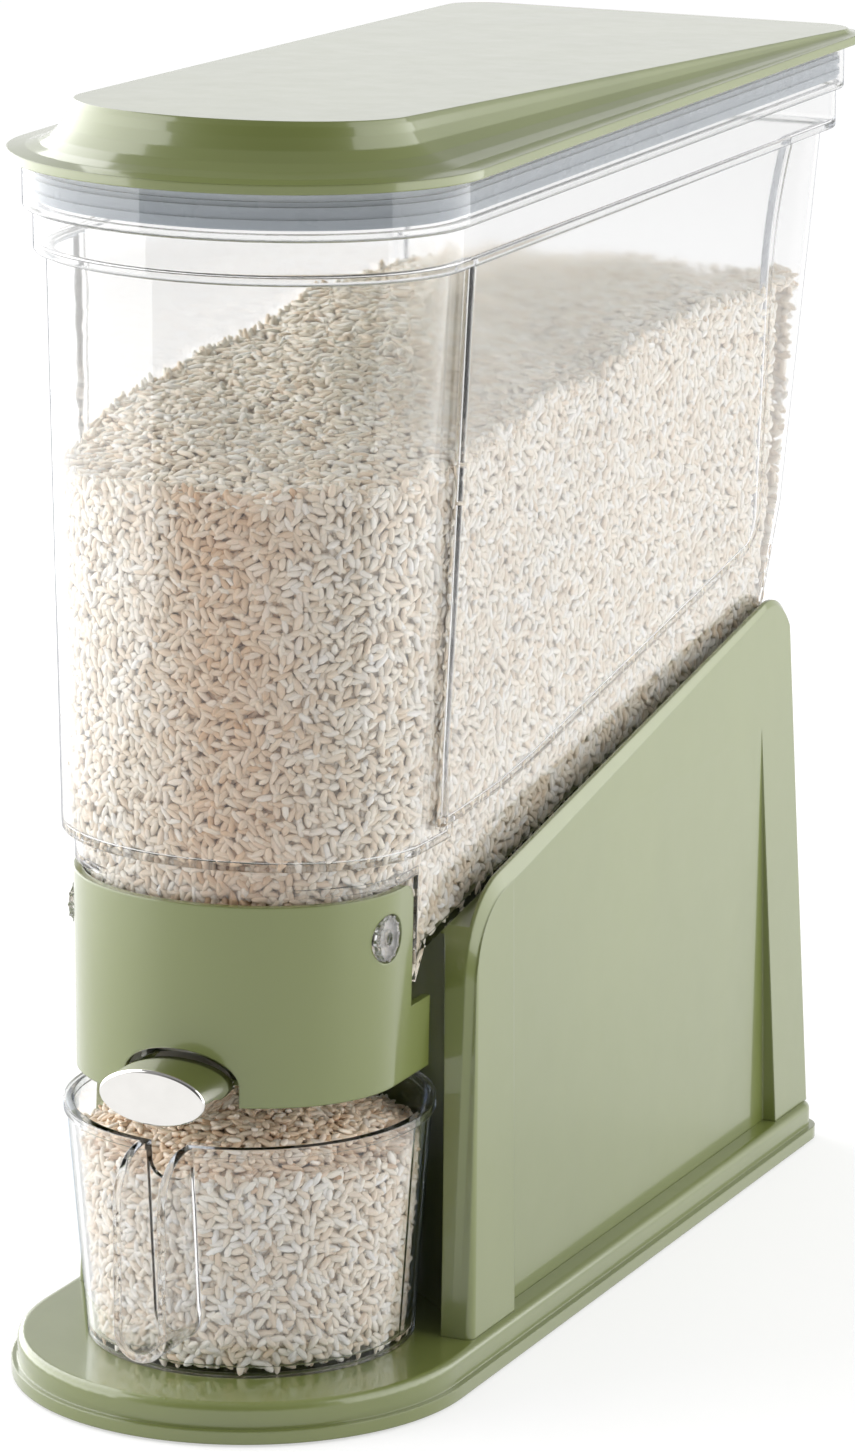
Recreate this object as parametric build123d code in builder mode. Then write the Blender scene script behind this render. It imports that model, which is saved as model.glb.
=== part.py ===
"""Rice dispenser: sloped clear hopper on a wedge stand, push-button outlet, cup.

Millimetres. X runs across the dispenser, Y from its front to its back, Z up.
The origin is under the middle of the whole object, on the surface it stands on.
Distances named *_s are measured back from the front tip of the base.
"""
from build123d import *
import os

# Overall sizes
BASE_LENGTH = 413.0
BASE_WIDTH = 163.0
LID_SETBACK = 23.8
LID_LENGTH = 414.2
LID_WIDTH = 169.8
LID_SEAT_Z = 418.8
FRONT_Y = -(LID_SETBACK + LID_LENGTH) / 2

# Clearances
PLAY = 0.3
SEAL_PLAY = 0.4
COVER_PLAY = 0.35
SHUTTER_PLAY = 0.2

# Base
FOOT_RADIUS = 8.0
FOOT_THICKNESS = 2.2
FLANGE_LIFT = 1.0
BASE_NOSE = 80.0
FLANGE_TOP = 5.6
PLINTH_STEP = 2.2
BASE_TOP = 14.5
PLINTH_ROUND = 2.6
BASE_WALL = 2.6
BASE_CORNER = 12.0
FOOT_PLACES = ((48.0, 38.0), (46.0, 396.0))
FOOT_WALL = 1.6
BASE_RIB = 1.6
BASE_RIB_DEPTH = 5.0
BASE_RIB_HALF = 24.0
BASE_RIB_STATIONS = (110.0, 216.0, 318.0)
SCREW_PAD = 3.0
SCREW_PAD_RADIUS = 6.0

# Stand
STAND_HALF_BOTTOM = 76.4
STAND_HALF_TOP = 69.6
STAND_TOP_Z = 216.0
STAND_FRONT_BOTTOM_S = 99.4
STAND_FRONT_TOP_S = 117.6
STAND_REAR_BOTTOM_S = 409.4
STAND_REAR_TOP_S = 401.4
STAND_CORNER = 3.0
STAND_WALL = 2.5
DECK_PLAY = 0.2
REAR_PLAY = 0.5
BEVEL_DROP = 5.0
BEVEL_SETBACK = 3.0
BEVEL_START_HALF = 68.6
STAND_INNER_HALF = 67.2
RAIL_START_S = 112.0
RAIL_START_Z = 165.5
FLOOR_SLOPE = 0.184
RAIL_FRONT_ROUND = 34.0
RAIL_REAR_ROUND = 21.0
DECK_DROP = 10.0
PANEL_HALF = 71.2
PANEL_FRONT_BOTTOM_S = 134.0
PANEL_FRONT_TOP_S = 148.0
PANEL_REAR_BOTTOM_S = 376.0
PANEL_REAR_TOP_S = 368.0
ALCOVE_GAP = 2.8
POST_RADIUS = 5.0
POST_HEIGHT = 30.0
POST_HALF = 64.5
POST_STATIONS = (162.0, 270.0, 362.0)

# Screws
SCREW_RADIUS = 1.5
SCREW_HEAD_RADIUS = 3.4
SCREW_HEAD_HEIGHT = 2.0
SCREW_HOLE = 0.1
SCREW_FREE = 0.4
SCREW_LENGTH = 16.0
SMALL_SCREW_RADIUS = 1.2
SMALL_HEAD_RADIUS = 2.4
SMALL_HEAD_HEIGHT = 1.6
SMALL_BOSS = 3.4

# Hopper
HOPPER_WALL = 2.4
RIM_HALF = 80.0
RIM_NOSE_S = 29.8
RIM_DEPTH = 59.0
RIM_REAR_S = 432.2
RIM_TOP_Z = 419.6
RIM_BOTTOM_Z = 402.0
BAND_HALF = 77.0
BAND_NOSE_S = 33.2
BAND_DEPTH = 57.0
BAND_REAR_S = 430.4
BAND_BOTTOM_Z = 387.0
TANK_TOP_HALF = 72.5
TANK_TOP_NOSE_S = 36.6
TANK_TOP_DEPTH = 53.6
TANK_MID_Z = 250.0
TANK_MID_HALF = 67.7
TANK_MID_NOSE_S = 34.4
TANK_MID_DEPTH = 50.2
BAY_BOTTOM_Z = 190.0
BAY_BOTTOM_HALF = 65.7
BAY_BOTTOM_NOSE_S = 33.4
BAY_BOTTOM_DEPTH = 48.8
BAY_REAR_S = 108.0
NECK_TOP_Z = 184.0
NECK_HALF = 60.3
NECK_NOSE_S = 36.0
NECK_DEPTH = 44.6
NECK_FOOT_Z = 130.0
NECK_FOOT_HALF = 58.8
TANK_REAR_S = 396.8
TANK_REAR_Z = 209.0
TANK_REAR_LEAN = 0.17
TANK_CORNER = 12.0
RIM_CORNER = 14.0
STEP_TOP_Z = 180.5
STEP_REAR_S = 90.5
FLOOR_BOSS_HEIGHT = 3.0
SIDE_PANEL_HALF_TOP = 76.0
SIDE_PANEL_HALF_LOW = 69.2
SIDE_PANEL_NOSE_S = 45.0
SIDE_PANEL_REAR_SET = 2.0
SIDE_PANEL_FRONT_TOP_S = 101.2
SIDE_PANEL_FRONT_S = 93.2
SIDE_PANEL_FRONT_Z = 222.0
SIDE_PANEL_LOWER_EDGE = ((93.2, 197.0), (112.0, 198.0), (140.0, 200.0), (168.0, 204.0))
SIDE_PANEL_HEEL = (366.0, 240.5)
SIDE_PANEL_HEEL_ROUND = 14.0
SIDE_PANEL_REAR = (367.5, 336.0)
SIDE_PANEL_REAR_TOP_S = 388.0
SIDE_PANEL_TOP_MARGIN = 9.0
SIDE_PANEL_EDGE_ROUND = 1.2
BAY_CORNER = 2.0
BAY_EDGE_ROUND = 1.5
RIM_EDGE_ROUND = 1.5
OUTLET_FLOOR_Z = 139.0
OUTLET_FLOOR_END_S = 88.0
FUNNEL_END_S = 97.0

# Cup
CUP_CENTRE_S = 83.6
CUP_RIM_RADIUS = 63.7
CUP_TOP_Z = 97.6
CUP_FOOT_RADIUS = 56.4
CUP_WALL = 2.2
CUP_FLOOR = 3.6
CUP_BEAD = 0.8
HANDLE_HALF = 9.8
HANDLE_WALL = 3.0
HANDLE_REACH = 83.2
HANDLE_BOTTOM_Z = 27.0
HANDLE_SWEEP = 17.0
NOTCH_DEPTH = 12.5
NOTCH_ROUND = 6.0
CUP_LIFT = 0.2
CUP_FOOT_RING = 1.2
CUP_BEAD_HEIGHT = 3.2

# Front cover
COVER_WALL = 3.0
COVER_TOP_Z = 178.5
COVER_BOTTOM_Z = 109.7
COVER_TOP_HALF = 59.5
COVER_BOTTOM_HALF = 57.8
COVER_TOP_NOSE_S = 31.2
COVER_BOTTOM_NOSE_S = 28.4
COVER_DEPTH = 48.0
COVER_REAR_S = 104.0
COVER_NOTCH_S = 89.0
COVER_NOTCH_Z = 134.6
PEG_S = 71.5
PEG_Z = 162.7
PEG_RADIUS = 8.0
PEG_STEM_RADIUS = 3.0
PEG_SINK = 0.3
PEG_HOLE_RADIUS = 2.2
PEG_RIBS = 12
PEG_RIB_RADIUS = 0.7
PEG_PLAY = 0.4
PEG_STEM_LENGTH = 5.0
PEG_SEAT_RISE = 0.2
PEG_HOLE_DEPTH = 4.0
COVER_NOTCH_ROUND = 7.0
COVER_CORNER_ROUND = 2.0

# Button and gate
BUTTON_HALF_WIDTH = 19.6
BUTTON_HALF_HEIGHT = 10.0
BUTTON_Z = 116.5
BUTTON_FRONT_S = 8.4
BUTTON_REAR_S = 33.0
BUTTON_LEAN = 8.0
BUTTON_SKIN = 1.8
BUTTON_EDGE = 1.2
ARCH_CLEARANCE = 2.0
BUTTON_TRAVEL = 16.0
THROAT_S = 72.0
THROAT_LENGTH = 12.0
THROAT_HALF = 19.0
WINDOW_MARGIN = 0.3
SHUTTER_THICKNESS = 2.0
SHUTTER_HALF = 23.0
SHUTTER_LAND = 6.0
OUTLET_HALF = 28.0
OUTLET_FRONT_S = 48.0
OUTLET_REAR_S = 84.0
OUTLET_ROUND = 6.0
THROAT_ROUND = 2.0
GASKET_THICKNESS = 1.4
GASKET_WIDTH = 4.0
CHUTE_FLANGE = 2.6
CHUTE_WALL = 2.0
CHUTE_LIP = 2.4
CHUTE_LIP_HALF = 44.0
WIPER_THICKNESS = 1.3
WIPER_WIDTH = 2.6
GUIDE_SCREW_HALF = 40.0
SPRING_HALF = 31.0
SPRING_COIL_RADIUS = 1.9
SPRING_WIRE_RADIUS = 0.35
SPRING_TURNS = 6
SPRING_DROP = 0.5
SPRING_LENGTH = 22.0
LUG_THICKNESS = 3.0
LUG_REACH = 34.0
SLIDE_NECK_HALF = 16.0
SLIDE_SHOULDER_S = 38.0
BOSS_PLAY = 0.2
CHUTE_FLANGE_HALF = 40.0
CHUTE_FLANGE_FRONT_S = 43.0
CHUTE_FLANGE_REAR_S = 89.0
CHUTE_FLANGE_ROUND = 14.0
CHUTE_SCREW_HALF = 36.0
CHUTE_SCREW_STATIONS = (61.0, 82.0)
CHUTE_SCREW_LENGTH = 7.0
LIP_FRONT_S = 55.0
LIP_REAR_S = 89.0
GUIDE_SCREW_STATIONS = (59.0, 85.0)
GUIDE_WEB = 2.2
GUIDE_WEB_DROP = 2.5
GUIDE_FRONT_S = 54.0
GUIDE_HALF = 36.0
GUIDE_WALL = 2.2
GUIDE_RIB = 2.0
GUIDE_ROUND = 3.0
GUIDE_HOLE_MARGIN = 2.0
GUIDE_SIDE_PLAY = 1.0
STOP_THICKNESS = 2.0
STOP_HALF = 3.2
SPIGOT_LENGTH = 2.5
SPRING_END_PLAY = 0.15
SLIDE_ROUND = 3.0
SLIDE_NECK_LAP = 1.0
STEM_SETBACK = 3.0
STEM_WALL = 2.0
STEM_BACK = 2.5
STEM_FRONT_PLAY = 0.2

# Lid
LID_RIM_HEIGHT = 3.2
LID_NOSE_DEPTH = 64.8
LID_CORNER = 16.0
LID_PEAK_Z = 440.0
LID_TAIL_Z = 423.4
LID_TOP_NOSE_S = 43.0
LID_TOP_HALF = 60.0
LID_TOP_TAIL_HALF = 81.5
LID_TOP_DEPTH = 42.0
LID_SKIN = 2.6
LID_TAIL_SET = 2.0
LINER_WALL = 2.0
LINER_HEIGHT = 14.5
LINER_GAP = 3.0
LID_RIM_PLAY = 0.6
LID_FLARE = ((0.0, 0.0), (0.05, 0.28), (0.14, 0.48), (0.28, 0.66), (0.48, 0.80), (0.72, 0.90), (0.9, 0.955), (1.0, 1.0))
SEAL_HEIGHT = 9.0
SEAL_TOP_Z = 415.0
SEAL_LIP = 1.6
SEAL_BODY_INSET = 1.1

# Values worked out from the sizes above
BASE_HALF = BASE_WIDTH / 2
STAND_BLANK_TOP_Z = STAND_TOP_Z + RAIL_REAR_ROUND
LID_HALF = LID_WIDTH / 2
LID_TAIL_S = LID_SETBACK + LID_LENGTH
CUP_FLOOR_Z = BASE_TOP + CUP_LIFT
SHUTTER_TOP_Z = BUTTON_Z + SHUTTER_THICKNESS / 2
SHUTTER_BOTTOM_Z = BUTTON_Z - SHUTTER_THICKNESS / 2
WIPER_BOTTOM_Z = SHUTTER_TOP_Z + SHUTTER_PLAY / 2
LIP_BOTTOM_Z = WIPER_BOTTOM_Z + WIPER_THICKNESS
LIP_TOP_Z = LIP_BOTTOM_Z + CHUTE_LIP
GASKET_BOTTOM_Z = OUTLET_FLOOR_Z - GASKET_THICKNESS
FLANGE_BOTTOM_Z = GASKET_BOTTOM_Z - CHUTE_FLANGE
SPRING_Z = BUTTON_Z - SPRING_DROP
LUG_S = THROAT_S
LUG_BACK_S = LUG_S + LUG_THICKNESS / 2
SPRING_STOP_S = LUG_BACK_S + SPRING_LENGTH
ALCOVE_RADIUS = CUP_RIM_RADIUS + ALCOVE_GAP
BASE_HOLLOW_TOP = BASE_TOP - BASE_WALL
SCREW_SEAT_Z = BASE_HOLLOW_TOP - SCREW_PAD
WEB_TOP_Z = SHUTTER_BOTTOM_Z - GUIDE_WEB_DROP
WEB_BOTTOM_Z = WEB_TOP_Z - GUIDE_WEB
WINDOW_FRONT_S = THROAT_S - THROAT_LENGTH / 2 - BUTTON_TRAVEL
SHUTTER_REAR_S = THROAT_S + THROAT_LENGTH / 2 + SHUTTER_LAND
GUIDE_REAR_S = SPRING_STOP_S + STOP_THICKNESS
LID_SLAB_TOP_Z = LID_SEAT_Z + LID_RIM_HEIGHT
LID_POCKET_TOP_Z = RIM_TOP_Z + PLAY
LINER_HALF = RIM_HALF - HOPPER_WALL - LINER_GAP
LINER_BOTTOM_Z = LID_POCKET_TOP_Z - LINER_HEIGHT


def y_at(s):
    """Y of a place that lies s behind the front tip of the base."""
    return FRONT_Y + s


def level(z):
    """The horizontal plane at height z."""
    return Plane.XY.offset(z)


def rail_z(s):
    """Height of the stand's sloped top edge."""
    return RAIL_START_Z + FLOOR_SLOPE * (s - RAIL_START_S)


def floor_z(s):
    """Height of the hopper's sloped underside, behind the funnel."""
    return rail_z(s) - DECK_DROP


def tank_rear_s(z):
    """How far back the hopper's leaning rear wall is at height z."""
    return TANK_REAR_S + TANK_REAR_LEAN * (z - TANK_REAR_Z)


def d_outline(half, nose_s, depth, rear_s, corner, rear_half=None):
    """A rounded nose, two sides and a square back with rounded corners."""
    back = half if rear_half is None else rear_half
    middle = y_at(nose_s + depth)
    with BuildSketch() as outline:
        with BuildLine():
            nose = EllipticalCenterArc((0, middle), half, depth, start_angle=180, arc_size=180)
            Polyline(nose @ 1, (back, y_at(rear_s)), (-back, y_at(rear_s)), nose @ 0)
        make_face()
        fillet(vertices().group_by(Axis.Y)[-1], corner)
    return outline.sketch


def side_profile(points):
    """A closed outline in the side view, from (s, z) pairs."""
    with BuildSketch() as outline:
        with BuildLine():
            Polyline(*[(y_at(s), z) for s, z in points], close=True)
        make_face()
    return outline.sketch


def underside_points(lift, rear_play, top_z):
    """Side view of the space above the hopper's underside, raised by lift, up to its rear wall."""
    heel_s = TANK_REAR_S + TANK_REAR_LEAN * (floor_z(TANK_REAR_S) - TANK_REAR_Z) + rear_play
    return [
        (0, OUTLET_FLOOR_Z + lift),
        (OUTLET_FLOOR_END_S, OUTLET_FLOOR_Z + lift),
        (FUNNEL_END_S, floor_z(FUNNEL_END_S) + lift),
        (heel_s, floor_z(heel_s) + lift),
        (tank_rear_s(top_z) + rear_play, top_z),
        (0, top_z),
    ]


def side_panel_outline(inset):
    """Side view of the raised side panel, drawn in by inset."""
    top_z = BAND_BOTTOM_Z + SIDE_PANEL_TOP_MARGIN
    corners = [(SIDE_PANEL_FRONT_TOP_S, top_z), (SIDE_PANEL_FRONT_S, SIDE_PANEL_FRONT_Z)]
    corners += [*SIDE_PANEL_LOWER_EDGE, SIDE_PANEL_HEEL, SIDE_PANEL_REAR]
    with BuildSketch() as panel:
        with BuildLine():
            low = Polyline(*[(y_at(s), z) for s, z in corners])
            rear = TangentArc(low @ 1, (y_at(SIDE_PANEL_REAR_TOP_S), top_z), tangent=low % 1)
            Line(rear @ 1, low @ 0)
        make_face()
        heel_s, heel_z = SIDE_PANEL_HEEL
        fillet(vertices().sort_by_distance((y_at(heel_s), heel_z))[0], SIDE_PANEL_HEEL_ROUND)
        if inset > 0:
            offset(amount=-inset, mode=Mode.REPLACE)
    return panel.sketch


def tank_form(inset):
    """The hopper's body below its rim bands, drawn in by inset."""
    corner = TANK_CORNER - inset
    top_z = BAND_BOTTOM_Z + inset

    with BuildPart() as panels:
        for z, half in ((BAY_BOTTOM_Z, SIDE_PANEL_HALF_LOW), (top_z, SIDE_PANEL_HALF_TOP)):
            with BuildSketch(level(z)):
                add(d_outline(half - inset, SIDE_PANEL_NOSE_S, TANK_TOP_DEPTH, tank_rear_s(z) - SIDE_PANEL_REAR_SET, corner))
        loft(ruled=True)
        with BuildSketch(Plane.YZ):
            add(side_panel_outline(inset))
        extrude(amount=BASE_WIDTH, both=True, mode=Mode.INTERSECT)
        outer = SIDE_PANEL_HALF_LOW - inset - SIDE_PANEL_EDGE_ROUND
        rims = panels.edges().filter_by(lambda edge: abs(edge.center().X) > outer and edge.center().Z < top_z - 1)
        fillet(rims, SIDE_PANEL_EDGE_ROUND)

    with BuildPart() as bay:
        bay_rear = BAY_REAR_S - inset
        for z, half, nose, depth in (
            (BAY_BOTTOM_Z + inset, BAY_BOTTOM_HALF, BAY_BOTTOM_NOSE_S, BAY_BOTTOM_DEPTH),
            (TANK_MID_Z, TANK_MID_HALF, TANK_MID_NOSE_S, TANK_MID_DEPTH),
        ):
            with BuildSketch(level(z)):
                add(d_outline(half - inset, nose + inset, depth - inset, bay_rear, BAY_CORNER))
        loft(ruled=True)
        fillet(bay.edges().group_by(Axis.Z)[0], BAY_EDGE_ROUND)

    with BuildPart() as form:
        stations = (
            (NECK_FOOT_Z, NECK_FOOT_HALF, NECK_NOSE_S, NECK_DEPTH),
            (NECK_TOP_Z, NECK_HALF, NECK_NOSE_S, NECK_DEPTH),
            (TANK_MID_Z, TANK_MID_HALF, TANK_MID_NOSE_S, TANK_MID_DEPTH),
            (top_z, TANK_TOP_HALF, TANK_TOP_NOSE_S, TANK_TOP_DEPTH),
        )
        for lower, upper in zip(stations, stations[1:]):
            for z, half, nose, depth in (lower, upper):
                with BuildSketch(level(z)):
                    add(d_outline(half - inset, nose + inset, depth - inset, tank_rear_s(z) - inset, corner))
            loft(ruled=True)
        with BuildSketch(Plane.YZ):
            add(side_profile(underside_points(inset, RIM_CORNER, top_z + 1)))
        extrude(amount=BASE_WIDTH, both=True, mode=Mode.INTERSECT)
        add(bay.part)
        add(panels.part)
    return form.part


def rim_outline(inset):
    """Plan outline of the hopper's rim band, drawn in by inset."""
    return d_outline(RIM_HALF - inset, RIM_NOSE_S + inset, RIM_DEPTH - inset, RIM_REAR_S - inset, RIM_CORNER - inset)


def cover_outline(z, inset):
    """Plan outline of the front cover at height z, drawn in by inset."""
    up = (z - COVER_BOTTOM_Z) / (COVER_TOP_Z - COVER_BOTTOM_Z)
    half = COVER_BOTTOM_HALF + (COVER_TOP_HALF - COVER_BOTTOM_HALF) * up
    nose_s = COVER_BOTTOM_NOSE_S + (COVER_TOP_NOSE_S - COVER_BOTTOM_NOSE_S) * up
    return d_outline(half - inset, nose_s + inset, COVER_DEPTH - inset, COVER_REAR_S + COVER_DEPTH, COVER_WALL)


def neck_step(inset):
    """What is cut off the hopper's neck so that the cover fits round it."""
    with BuildPart() as cut:
        with BuildSketch(Plane.YZ):
            with Locations((y_at(STEP_REAR_S + inset), 0)):
                Rectangle(BASE_LENGTH, STEP_TOP_Z + inset, align=(Align.MAX, Align.MIN))
        extrude(amount=BASE_WIDTH, both=True)
        for z in (COVER_BOTTOM_Z, STEP_TOP_Z + inset + 1):
            with BuildSketch(level(z)):
                add(cover_outline(z, COVER_WALL + COVER_PLAY + inset))
        loft(ruled=True, mode=Mode.SUBTRACT)
    return cut.part


def rounded_slab(half, front_s, rear_s, corner):
    """A rounded rectangle in plan, from front_s to rear_s."""
    with BuildSketch() as slab:
        with Locations((0, y_at((front_s + rear_s) / 2))):
            RectangleRounded(2 * half, rear_s - front_s, corner)
    return slab.sketch


def oval(margin):
    """The button's outline seen from the front, grown by margin."""
    with BuildSketch() as outline:
        with Locations((0, BUTTON_Z)):
            Ellipse(BUTTON_HALF_WIDTH + margin, BUTTON_HALF_HEIGHT + margin)
    return outline.sketch


def across(s):
    """The upright plane at s: its x is X and its y is Z, its normal points forward."""
    return Plane(origin=(0, y_at(s), 0), x_dir=(1, 0, 0), z_dir=(0, -1, 0))


def pan_screw(shank_radius, head_radius, head_height, length):
    """A pan-head screw standing on its head, its seat at the origin."""
    with BuildPart() as screw:
        Cylinder(shank_radius, length, align=(Align.CENTER, Align.CENTER, Align.MIN))
        with Locations((0, 0, -head_height)):
            Cylinder(head_radius, head_height, align=(Align.CENTER, Align.CENTER, Align.MIN))
        fillet(screw.edges().group_by(Axis.Z)[0], head_height * 0.4)
        with Locations((0, 0, -head_height)):
            Box(head_radius * 1.2, 0.7, head_height, mode=Mode.SUBTRACT)
            Box(0.7, head_radius * 1.2, head_height, mode=Mode.SUBTRACT)
    return screw.part


def finish_part(part, label):
    """Names a finished piece and writes it."""
    part.label = label
    export_step(part, f"parts/{label}.step")


os.makedirs("parts", exist_ok=True)
POST_PLACES = [(side * POST_HALF, y_at(s)) for s in POST_STATIONS for side in (-1, 1)]
FEET = [(side * x, y_at(s)) for x, s in FOOT_PLACES for side in (-1, 1)]

# Base plate: a stepped tray, ribbed underneath, with pads for the feet and screws
with BuildPart() as base_plate:
    with BuildSketch(level(FLANGE_LIFT)):
        add(d_outline(BASE_HALF, 0, BASE_NOSE, BASE_LENGTH, BASE_CORNER))
    extrude(amount=FLANGE_TOP - FLANGE_LIFT)
    with BuildSketch(level(FLANGE_TOP)):
        add(d_outline(BASE_HALF - PLINTH_STEP, PLINTH_STEP, BASE_NOSE - PLINTH_STEP, BASE_LENGTH - PLINTH_STEP,
                      BASE_CORNER - PLINTH_STEP))
    extrude(amount=BASE_TOP - FLANGE_TOP)
    fillet(base_plate.edges().group_by(Axis.Z)[-1], PLINTH_ROUND)
    with BuildSketch(level(FLANGE_LIFT)):
        hollow_inset = PLINTH_STEP + BASE_WALL
        add(d_outline(BASE_HALF - hollow_inset, hollow_inset, BASE_NOSE - hollow_inset, BASE_LENGTH - hollow_inset,
                      BASE_CORNER - hollow_inset))
    extrude(amount=BASE_HOLLOW_TOP - FLANGE_LIFT, mode=Mode.SUBTRACT)
    with BuildSketch(level(BASE_HOLLOW_TOP)):
        for x in (-BASE_RIB_HALF, BASE_RIB_HALF):
            with Locations((x, y_at(BASE_LENGTH / 2))):
                Rectangle(BASE_RIB, BASE_LENGTH - 4 * hollow_inset)
        for s in BASE_RIB_STATIONS:
            with Locations((0, y_at(s))):
                Rectangle(BASE_WIDTH - 2 * hollow_inset, BASE_RIB)
    extrude(amount=-BASE_RIB_DEPTH)
    with BuildSketch(level(FOOT_THICKNESS)):
        with Locations(FEET):
            Circle(FOOT_RADIUS + FOOT_WALL)
    extrude(amount=BASE_HOLLOW_TOP - FOOT_THICKNESS)
    with BuildSketch(level(SCREW_SEAT_Z)):
        with Locations(POST_PLACES):
            Circle(SCREW_PAD_RADIUS)
    extrude(amount=SCREW_PAD)
    with BuildSketch(level(SCREW_SEAT_Z)):
        with Locations(POST_PLACES):
            Circle(SCREW_RADIUS + SCREW_FREE)
    extrude(amount=BASE_TOP - SCREW_SEAT_Z, mode=Mode.SUBTRACT)
finish_part(base_plate.part, "base_plate")

# Feet: rubber discs glued under the base's pads
with BuildPart() as base_feet:
    with BuildSketch():
        with Locations(FEET):
            Circle(FOOT_RADIUS)
    extrude(amount=FOOT_THICKNESS)
    fillet(base_feet.edges().group_by(Axis.Z)[0], 0.5)
finish_part(base_feet.part, "base_feet")

# Base screws: up through the base into the stand's posts
base_screw = pan_screw(SCREW_RADIUS, SCREW_HEAD_RADIUS, SCREW_HEAD_HEIGHT, SCREW_LENGTH)
with BuildPart() as base_screws:
    with Locations([(x, y, SCREW_SEAT_Z) for x, y in POST_PLACES]):
        add(base_screw)
finish_part(base_screws.part, "base_screws")


def stand_outline(z, inset):
    """Plan outline of the stand's tapered walls at height z."""
    up = (z - BASE_TOP) / (STAND_TOP_Z - BASE_TOP)
    half = STAND_HALF_BOTTOM + (STAND_HALF_TOP - STAND_HALF_BOTTOM) * up
    front_s = STAND_FRONT_BOTTOM_S + (STAND_FRONT_TOP_S - STAND_FRONT_BOTTOM_S) * up
    rear_s = STAND_REAR_BOTTOM_S + (STAND_REAR_TOP_S - STAND_REAR_BOTTOM_S) * up
    return rounded_slab(half - inset, front_s + inset, rear_s - inset, STAND_CORNER - inset)


def panel_outline(inset):
    """Side view of the recessed panel in each side of the stand, drawn in by inset."""
    return side_profile([
        (PANEL_FRONT_BOTTOM_S + inset, 0),
        (PANEL_FRONT_TOP_S + inset, STAND_TOP_Z),
        (PANEL_FRONT_TOP_S + inset, STAND_BLANK_TOP_Z),
        (PANEL_REAR_TOP_S - inset, STAND_BLANK_TOP_Z),
        (PANEL_REAR_TOP_S - inset, STAND_TOP_Z),
        (PANEL_REAR_BOTTOM_S - inset, 0),
    ])


def under_deck(drop):
    """Side view of everything more than drop below the hopper's underside."""
    return side_profile([
        (0, 0),
        (0, OUTLET_FLOOR_Z - drop),
        (OUTLET_FLOOR_END_S, OUTLET_FLOOR_Z - drop),
        (FUNNEL_END_S, floor_z(FUNNEL_END_S) - drop),
        (BASE_LENGTH, floor_z(BASE_LENGTH) - drop),
        (BASE_LENGTH, 0),
    ])


def wedge_profile(drop, setback=0.0, top_setback=0.0):
    """Side view of the stand: its sloped top lowered by drop, its front edge moved back."""
    rise = STAND_TOP_Z - BASE_TOP
    front_lean = (STAND_FRONT_TOP_S - STAND_FRONT_BOTTOM_S + top_setback) / rise
    rear_lean = (STAND_REAR_TOP_S - STAND_REAR_BOTTOM_S) / rise
    height = rail_z(0) - drop - BASE_TOP
    front_bottom_s = STAND_FRONT_BOTTOM_S + setback
    front_s = (front_bottom_s + front_lean * height) / (1 - front_lean * FLOOR_SLOPE)
    rear_s = (STAND_REAR_BOTTOM_S + rear_lean * height) / (1 - rear_lean * FLOOR_SLOPE)
    with BuildSketch() as wedge:
        add(side_profile([
            (front_bottom_s, BASE_TOP),
            (front_s, rail_z(front_s) - drop),
            (rear_s, rail_z(rear_s) - drop),
            (STAND_REAR_BOTTOM_S, BASE_TOP),
        ]))
        fillet(wedge.vertices().sort_by(Axis.Y)[-1], RAIL_REAR_ROUND)
        front_top = (y_at(front_s), rail_z(front_s) - drop)
        fillet(wedge.vertices().sort_by_distance(front_top)[0], RAIL_FRONT_ROUND - setback - top_setback)
    return wedge.sketch


# Stand: a hollow wedge whose sloped deck carries the hopper, with a bay for the cup
with BuildPart() as stand_inside:
    for z in (BASE_TOP, STAND_BLANK_TOP_Z):
        with BuildSketch(level(z)):
            add(stand_outline(z, STAND_WALL))
    loft(ruled=True)
    with BuildSketch(Plane.YZ):
        add(under_deck(DECK_PLAY + STAND_WALL))
    extrude(amount=BASE_WIDTH, both=True, mode=Mode.INTERSECT)
    with BuildSketch(Plane.YZ):
        add(wedge_profile(STAND_WALL, setback=STAND_WALL))
    extrude(amount=BASE_WIDTH, both=True, mode=Mode.INTERSECT)
    for side in (-1, 1):
        with BuildSketch(Plane.YZ.offset(side * (PANEL_HALF - STAND_WALL))):
            add(panel_outline(-STAND_WALL))
        extrude(amount=side * STAND_HALF_BOTTOM, mode=Mode.SUBTRACT)
    with BuildSketch(level(BASE_TOP)):
        with Locations((0, y_at(CUP_CENTRE_S))):
            Circle(ALCOVE_RADIUS + STAND_WALL)
    extrude(amount=STAND_TOP_Z, mode=Mode.SUBTRACT)
    with BuildSketch(level(BASE_TOP)):
        with Locations(POST_PLACES):
            Circle(POST_RADIUS)
    extrude(amount=POST_HEIGHT, mode=Mode.SUBTRACT)

with BuildPart() as cup_bay:
    with BuildSketch(level(BASE_TOP)):
        with Locations((0, y_at(CUP_CENTRE_S))):
            Circle(ALCOVE_RADIUS)
    extrude(amount=STAND_TOP_Z)
    with BuildSketch(Plane.YZ):
        add(under_deck(DECK_PLAY + STAND_WALL))
    extrude(amount=BASE_WIDTH, both=True, mode=Mode.INTERSECT)

with BuildPart() as stand_wedge:
    with BuildSketch(Plane.YZ):
        add(wedge_profile(0))
    extrude(amount=BEVEL_START_HALF, both=True)
    for side in (-1, 1):
        with BuildSketch(Plane.YZ.offset(side * BEVEL_START_HALF)):
            add(wedge_profile(0))
        with BuildSketch(Plane.YZ.offset(side * PANEL_HALF)):
            add(wedge_profile(BEVEL_DROP, top_setback=BEVEL_SETBACK))
        loft(ruled=True)
        with BuildSketch(Plane.YZ.offset(side * PANEL_HALF)):
            add(wedge_profile(BEVEL_DROP, top_setback=BEVEL_SETBACK))
        extrude(amount=side * STAND_HALF_BOTTOM)

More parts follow.
